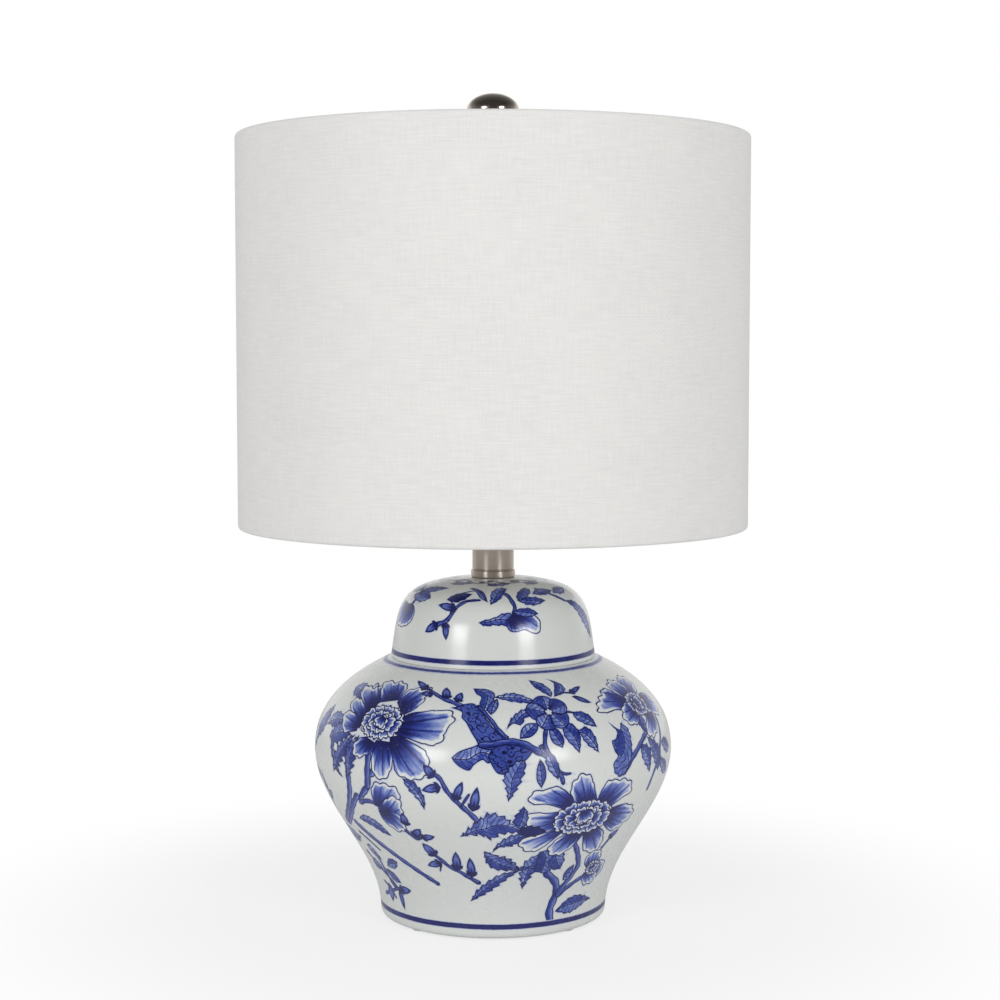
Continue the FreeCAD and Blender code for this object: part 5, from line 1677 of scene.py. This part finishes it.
for source, target in (
        (given["Height"], turns.inputs[0]), (given["Pitch"], turns.inputs[1]),
        (turns.outputs[0], spiral.inputs["Rotations"]), (given["Points a Turn"], spiral.inputs["Resolution"]),
        (given["Radius"], spiral.inputs["Start Radius"]), (given["Radius"], spiral.inputs["End Radius"]),
        (given["Height"], spiral.inputs["Height"]), (given["Ridge"], profile.inputs["Radius"]),
        (given["Ridge Sides"], profile.inputs["Resolution"]), (spiral.outputs[0], sweep.inputs["Curve"]),
        (profile.outputs[0], sweep.inputs["Profile Curve"]), (given["Bottom"], place_at.inputs["Z"]),
        (sweep.outputs[0], lift.inputs["Geometry"]), (place_at.outputs[0], lift.inputs["Translation"]),
        (given["Core"], both.inputs[0]), (lift.outputs[0], both.inputs[0]),
        (both.outputs[0], real.inputs[0]), (real.outputs[0], paint.inputs["Geometry"]),
        (given["Finish"], paint.inputs["Material"]), (paint.outputs[0], leave.inputs[0])):
    wind.links.new(source, target)


def threaded(name, core, finish, radius, pitch, ridge, bottom, height, points_a_turn, ridge_sides):
    """A core with a thread wound round it, as one plain mesh. Lengths in millimetres."""
    made = piece(name, core, finish, 30)
    modifier = made.modifiers.new("thread", "NODES")
    modifier.node_group = wind
    for title, value in (("Radius", radius * mm), ("Pitch", pitch * mm), ("Ridge", ridge * mm),
                         ("Bottom", bottom * mm), ("Height", height * mm), ("Points a Turn", points_a_turn),
                         ("Ridge Sides", ridge_sides), ("Finish", finish)):
        modifier[sockets[title]] = value
    bpy.context.view_layer.update()
    seen = made.evaluated_get(bpy.context.evaluated_depsgraph_get())
    plain = bpy.data.meshes.new_from_object(seen)
    made.modifiers.remove(modifier)
    plain.shade_smooth()
    plain.set_sharp_from_angle(angle=math.radians(50))
    made.data = plain
    tell(made)
    return made


# %% Pipe, stud and bulb cap
pipe_core = turned([(3.4, 11.0), (4.5, 11.0), (4.5, 281.0), (3.4, 281.0)], 48)
pipe = threaded("threaded_pipe", pipe_core, lamp_steel, 4.5, 1.0, 0.4, 11.6, 268.8, 16, 4)
stud_core = turned([(0.0, 485.8), (2.0, 485.8), (2.0, 492.1), (7.0, 492.1), (7.0, 493.5), (2.7, 493.5),
                    (2.7, 504.5), (2.4, 505.0), (0.0, 505.0)], 48)
stud = threaded("threaded_stud", stud_core, zinc_steel, 2.7, 0.94, 0.3, 496.2, 8.0, 24, 4)
cap_core = [(0.0, 311.0), (9.4, 311.0)] + span((9.4, 311.0), (11.8, 311.0), (12.4, 312.0), (12.4, 314.0), 6)
cap_core += [(12.4, 333.0), (12.0, 333.0), (12.0, 314.4), (9.4, 311.4), (0.0, 311.4)]
bulb_cap = threaded("threaded_bulb_cap", turned(cap_core, 64), bulb_metal, 12.42, 3.6, 0.6, 315.2, 15.2, 48, 12)

# %% [markdown]
# ## Dressing the model
# Each new piece rides on the CAD body that carries it and takes the place of the CAD nodes it stands for,
# which are hidden. CAD nodes whose shape is already right keep it and get a finish here.
# %% Pieces that stand for CAD nodes
def stand_for(made, body, slot, *nodes):
    """Puts a piece on its body and in the place of its CAD nodes, which it hides. The slot is not used."""
    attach(made, body)
    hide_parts(*nodes)


stand_for(jar, "lamp_base", "glazed_jar", "jar_body", "foot_ring")
stand_for(lid, "lamp_base", "glazed_lid", "jar_lid")
stand_for(shade, "shade", "linen", "shade_fabric")
stand_for(neck, "lamp_base", "nickel", "neck_collar", "neck_tube", "tube_cap")
stand_for(finial, "finial", "nickel", "finial_base", "finial_knob")
stand_for(pipe, "lamp_base", "steel", "lamp_rod")
stand_for(stud, "shade", "nickel_wire", "harp_stud")
stand_for(bulb_cap, "bulb", "bulb_metal", "bulb_cap")
print("pieces ride on their bodies")

# %% Finishes on CAD nodes
finish_of = {
    "foot_pads": felt, "cord_bushing": black_plastic, "lamp_rod": lamp_steel, "bottom_nut": zinc_steel,
    "lock_washer": zinc_steel, "steel_washer": zinc_steel, "rubber_washer": rubber_finish,
    "neck_collar": satin_nickel, "neck_tube": satin_nickel, "tube_cap": satin_nickel,
    "harp_saddle": nickel_wire, "saddle_nut": zinc_steel, "socket_cap": socket_brass,
    "socket_shell": socket_brass, "socket_liner": vulcan_card, "switch_block": black_plastic,
    "screw_shell": screw_metal, "centre_contact": contact_brass, "switch_knob": black_plastic,
    "bulb_contact": solder_finish, "bulb_insulator": black_glass, "bulb_cap": bulb_metal,
    "bulb_glass": frosted_glass, "harp": nickel_wire, "ferrule_left": nickel_wire,
    "ferrule_right": nickel_wire, "harp_stud": zinc_steel, "shade_liner": styrene_liner,
    "shade_spider": white_wire, "shade_bottom_ring": white_wire, "finial_insert": contact_brass,
    "finial_base": bright_nickel, "finial_knob": bright_nickel}
for node, finish in finish_of.items():
    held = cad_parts[node]
    if not held.material_slots:
        held.data.materials.append(finish)
    for place in held.material_slots:
        place.material = finish
print(len(finish_of), "CAD nodes finished")
